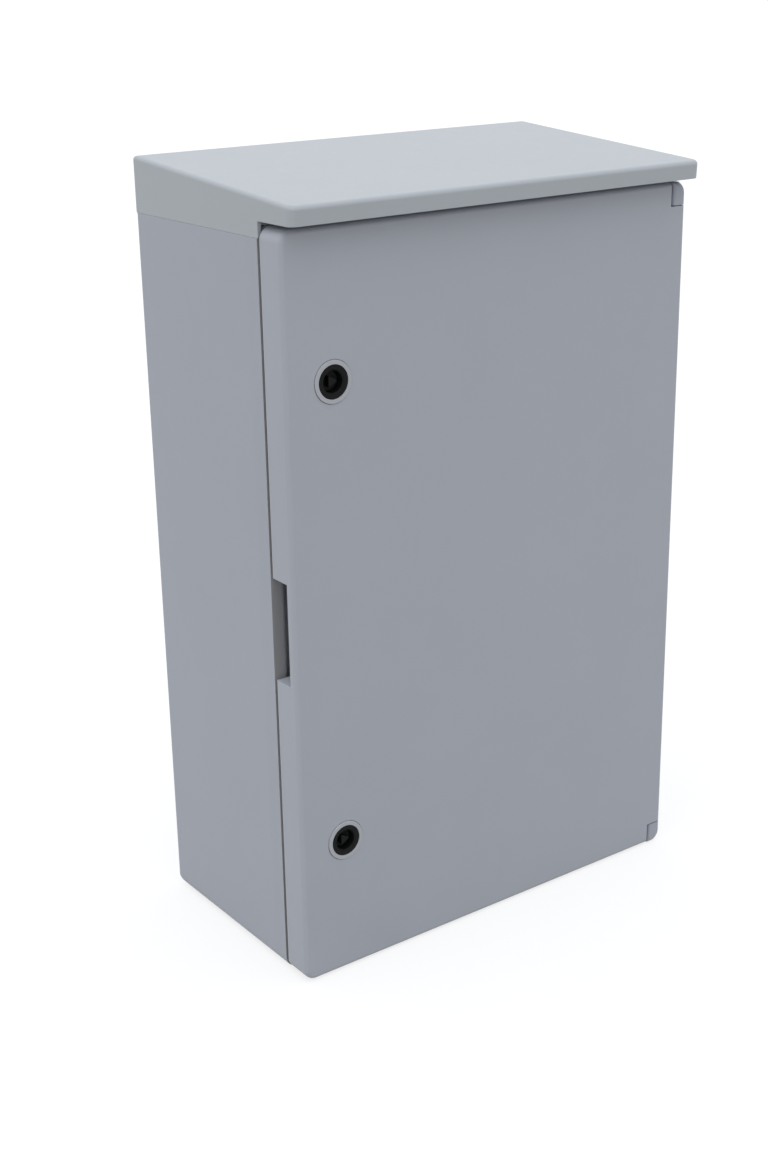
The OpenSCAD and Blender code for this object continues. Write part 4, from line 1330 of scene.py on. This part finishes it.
@dataclass
class Hood:
    """Sloping rain hood: walls that fall from a roof with round edges, open below.

    Each row of its grid is the hood's plan, drawn in by the row's inset, at the row's drop
    below the roof's plane. The lower edge steps up where the hood leaves the cabinet, and
    settles on the cabinet's step, which closes most of the CAD model's clearance there.
    """

    finishes: Finishes
    wall: float = 3.0
    front_corner: float = 7.0
    back_corner: float = 1.2
    edge_r: float = 3.5
    lip_clear: float = 3.5
    skirt_y: float = 28.5
    front_rise: float = 18.0
    back_rise: float = 35.5
    ramp: float = 0.24
    baffle_y: float = 30.5
    post_d: float = 11.0
    post_in: float = 5.0
    inner_edge_r: float = 1.7
    sink: float = 1.0
    crisp: float = 0.22
    settle: float = 0.24

    def __post_init__(self) -> None:
        """Takes the hood's box from the frame, and works out the roof's slope."""
        site, shell = Site.of("rain_hood"), Site.of("cabinet_shell")
        (self.x0, self.front, low), (self.x1, self.back, self.top) = site.low, site.high
        self.low = low - self.settle
        self.cab_top = float(shell.high[2])
        self.slope = (self.back_rise - self.front_rise) / (self.back - self.front)

    def roof(self, y: np.ndarray) -> np.ndarray:
        """Height of the roof's plane at a depth."""
        return self.cab_top + self.back_rise - (self.back - y) * self.slope

    def under_roof(self, y: float) -> float:
        """Height at which a wall or post ends, a little inside the roof's thickness."""
        return float(self.roof(np.array(y))) - self.wall + self.sink

    def plan(self, inset_: float) -> np.ndarray:
        """The hood's plan, drawn in by inset_, with a dense run of points by the step."""
        x0, x1 = self.x0 + inset_, self.x1 - inset_
        y0, y1 = self.front + inset_, self.back - inset_
        front, back = max(self.front_corner - inset_, 0.4), max(self.back_corner - inset_, 0.4)
        outline = rounded([(x0, y0), (x1, y0), (x1, y1), (x0, y1)], [front, front, back, back], 10)
        steps = self.skirt_y + np.array([-0.9, -0.35, -0.12, 0.12, 0.35, 0.9])
        right = np.stack([np.full(6, x1), steps], axis=-1)
        left = np.stack([np.full(6, x0), steps[::-1]], axis=-1)
        return np.concatenate([outline[:22], right, outline[22:], left])

    def bottom(self, y: np.ndarray, raise_: float) -> np.ndarray:
        """Height of the lower edge: the lip in front, the skirt behind, a steep ramp between."""
        share = np.clip((y - self.skirt_y) / self.ramp + 0.5, 0, 1)
        ease = share * share * (3 - 2 * share)
        start = self.cab_top + self.lip_clear
        return start + raise_ + (self.low - self.cab_top - self.lip_clear) * ease

    def row(self, inset_: float, drop: float | None, raise_: float = 0.0) -> np.ndarray:
        """One row of the grid: the plan at a drop below the roof, or at the lower edge."""
        plan = self.plan(inset_)
        y = plan[:, 1]
        z = self.bottom(y, raise_) if drop is None else self.roof(y) - drop
        lean = np.clip(1 - (y - self.front) / self.front_corner, 0, 1)
        y = y + lean * self.slope * np.maximum(self.roof(y) - z - self.edge_r, 0)
        return np.stack([plan[:, 0], y, z], axis=-1)

    def build(self) -> None:
        """Makes the hood with its baffle and screw posts."""
        outer = [self.row(inset_, drop) for inset_, drop in quarter(self.edge_r)]
        edge = [self.row(inset_, None, rise) for inset_, rise in lip(self.wall, self.crisp)]
        inner = [self.row(self.wall + inset_, self.wall + drop)
                 for inset_, drop in quarter(self.inner_edge_r)[::-1]]
        made = Solid().capped(np.stack([*outer, *edge, *inner]))
        self.baffle(made)
        self.posts(made)
        made.piece("hood", Body.CABINET, Slot.HOOD, self.finishes, "rain_hood")

    def baffle(self, made: Solid) -> None:
        """Wall under the roof that keeps driven rain out."""
        y0, y1 = self.baffle_y, self.baffle_y + self.wall
        x0, x1 = self.x0 + self.wall - self.sink, self.x1 - self.wall + self.sink
        outline = rectangle(x0, x1, self.cab_top + 0.05, self.under_roof(y0), 0.3, 2)
        made.capped(np.stack([at_depth(outline, y) for y in (y0, y1)]))

    def posts(self, made: Solid) -> None:
        """Posts that take the screws from below."""
        site, reach, radius = Site.of("hood_screws"), self.post_in, self.post_d / 2
        for x in (site.low[0] + reach, site.high[0] - reach):
            for y in (site.low[1] + reach, site.high[1] - reach):
                low, top = self.cab_top, self.under_roof(y)
                profile = np.array([(0.0, low), (radius, low), (radius, top), (0.0, top)])
                made.grid(turned(profile, (x, y, 0.0), Axis.UP, 40))


# ---------- Stage ----------


def bearing(azimuth_deg: float, elevation_deg: float) -> Vector:
    """Unit vector (cos e sin a, cos e cos a, sin e), whose azimuth a goes from back to right."""
    a, e = math.radians(azimuth_deg), math.radians(elevation_deg)
    return Vector((math.cos(e) * math.sin(a), math.cos(e) * math.cos(a), math.sin(e)))


@dataclass(frozen=True)
class Lamp:
    """A broad, distant lamp, placed by the direction that its light comes from."""

    name: str
    azimuth_deg: float
    elevation_deg: float
    strength: float
    spread_deg: float
    colour: Colour = (1.0, 1.0, 1.0)

    def build(self) -> None:
        """Makes the lamp. Azimuth 0 is in front of the door and 90 at the cabinet's left."""
        data = bpy.data.lights.new(self.name, "SUN")
        data.energy = self.strength
        data.angle = math.radians(self.spread_deg)
        data.color = self.colour
        obj = linked(self.name, data)
        towards = -bearing(self.azimuth_deg, -self.elevation_deg)
        obj.rotation_mode = "QUATERNION"
        obj.rotation_quaternion = towards.to_track_quat("Z", "Y")


@dataclass(frozen=True)
class Studio:
    """White surroundings like an overcast sky, a pale floor, two soft lamps and the camera."""

    zenith: Colour = (0.98, 1.03, 1.08)
    horizon: Colour = (0.47, 0.455, 0.445)
    lamps: tuple[Lamp, ...] = (
        Lamp("side", 72.0, 38.0, 0.24, 70.0, (0.98, 0.98, 0.98)),
        Lamp("overhead", 20.0, 78.0, 0.52, 60.0, (0.98, 0.99, 1.0)),
    )
    floor_reach: float = 160.0
    floor_gap: float = 0.0004
    camera_place: Colour = (-0.85578, -1.11925, 0.79117)
    camera_azimuth_deg: float = 35.906
    camera_elevation_deg: float = -19.823
    camera_roll_deg: float = 1.022
    camera_lens: float = 54.05
    camera_sensor: float = 36.0
    camera_clip: tuple[float, float] = (0.05, 500.0)

    def build(self) -> None:
        """Makes the surroundings."""
        self.world()
        self.floor()
        for lamp in self.lamps:
            lamp.build()
        self.camera()
        bpy.context.scene.view_settings.view_transform = "Standard"

    def world(self) -> None:
        """White to the eye and in reflections. As a light, it grows brighter towards the zenith."""
        made = bpy.data.worlds.new("surroundings")
        bpy.context.scene.world = made
        g = Graph(made)
        towards = g.node("ShaderNodeTexCoord", output="Generated")
        height = g.part(towards, "Z")
        light = g.mix(height.greater(0.0), self.horizon, self.zenith)
        colour = g.mix(seen_ray(g), light, (1.0, 1.0, 1.0))
        sky = g.node("ShaderNodeBackground", None, {"Color": colour})
        g.node("ShaderNodeOutputWorld", None, {"Surface": sky})

    def floor(self) -> None:
        """Level floor under the cabinet, just below its base."""
        mesh = bpy.data.meshes.new("floor")
        reach, z = self.floor_reach, -self.floor_gap
        corners = [(-reach, -reach, z), (reach, -reach, z), (reach, reach, z), (-reach, reach, z)]
        mesh.from_pydata(corners, [], [(0, 1, 2, 3)])
        mesh.materials.append(StudioFloor().material())
        linked("floor", mesh)

    def camera(self) -> None:
        """Camera that looks down at the cabinet from its front left."""
        ahead = bearing(self.camera_azimuth_deg, self.camera_elevation_deg)
        level = ahead.cross(Vector((0, 0, 1))).normalized()
        under = ahead.cross(level)
        roll = math.radians(self.camera_roll_deg)
        right = math.cos(roll) * level + math.sin(roll) * under
        down = math.cos(roll) * under - math.sin(roll) * level
        data = bpy.data.cameras.new("camera")
        data.lens = self.camera_lens
        data.sensor_width = self.camera_sensor
        data.clip_start, data.clip_end = self.camera_clip
        obj = linked("camera", data)
        obj.rotation_mode = "QUATERNION"
        obj.rotation_quaternion = Matrix((right, -down, -ahead)).transposed().to_quaternion()
        obj.location = self.camera_place
        bpy.context.scene.camera = obj


def dress_frame(finishes: Finishes) -> None:
    """Gives each CAD node that is still shown its finish, by the record's slots."""
    slots = {part["node"]: part["material_slot"] for part in frame["record"]["subparts"]}
    for name, obj in frame["nodes"].items():
        obj.data.materials.clear()
        obj.data.materials.append(finishes[Slot(slots[name])])
        if not obj.hide_render:
            log.info("%s: CAD node in %s", name, slots[name])


def main() -> None:
    """Builds every piece in order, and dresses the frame."""
    logging.basicConfig(level=logging.INFO, format="%(name)s %(message)s")
    finishes = Finishes()
    Studio().build()
    Hood(finishes).build()
    Door(finishes).build()
    Seal(finishes).build()
    Lock("upper", Body.UPPER_LOCK, finishes).build()
    Lock("lower", Body.LOWER_LOCK, finishes).build()
    Inside(finishes).build()
    Screws(finishes).build()
    dress_frame(finishes)


if __name__ == "__main__":
    main()
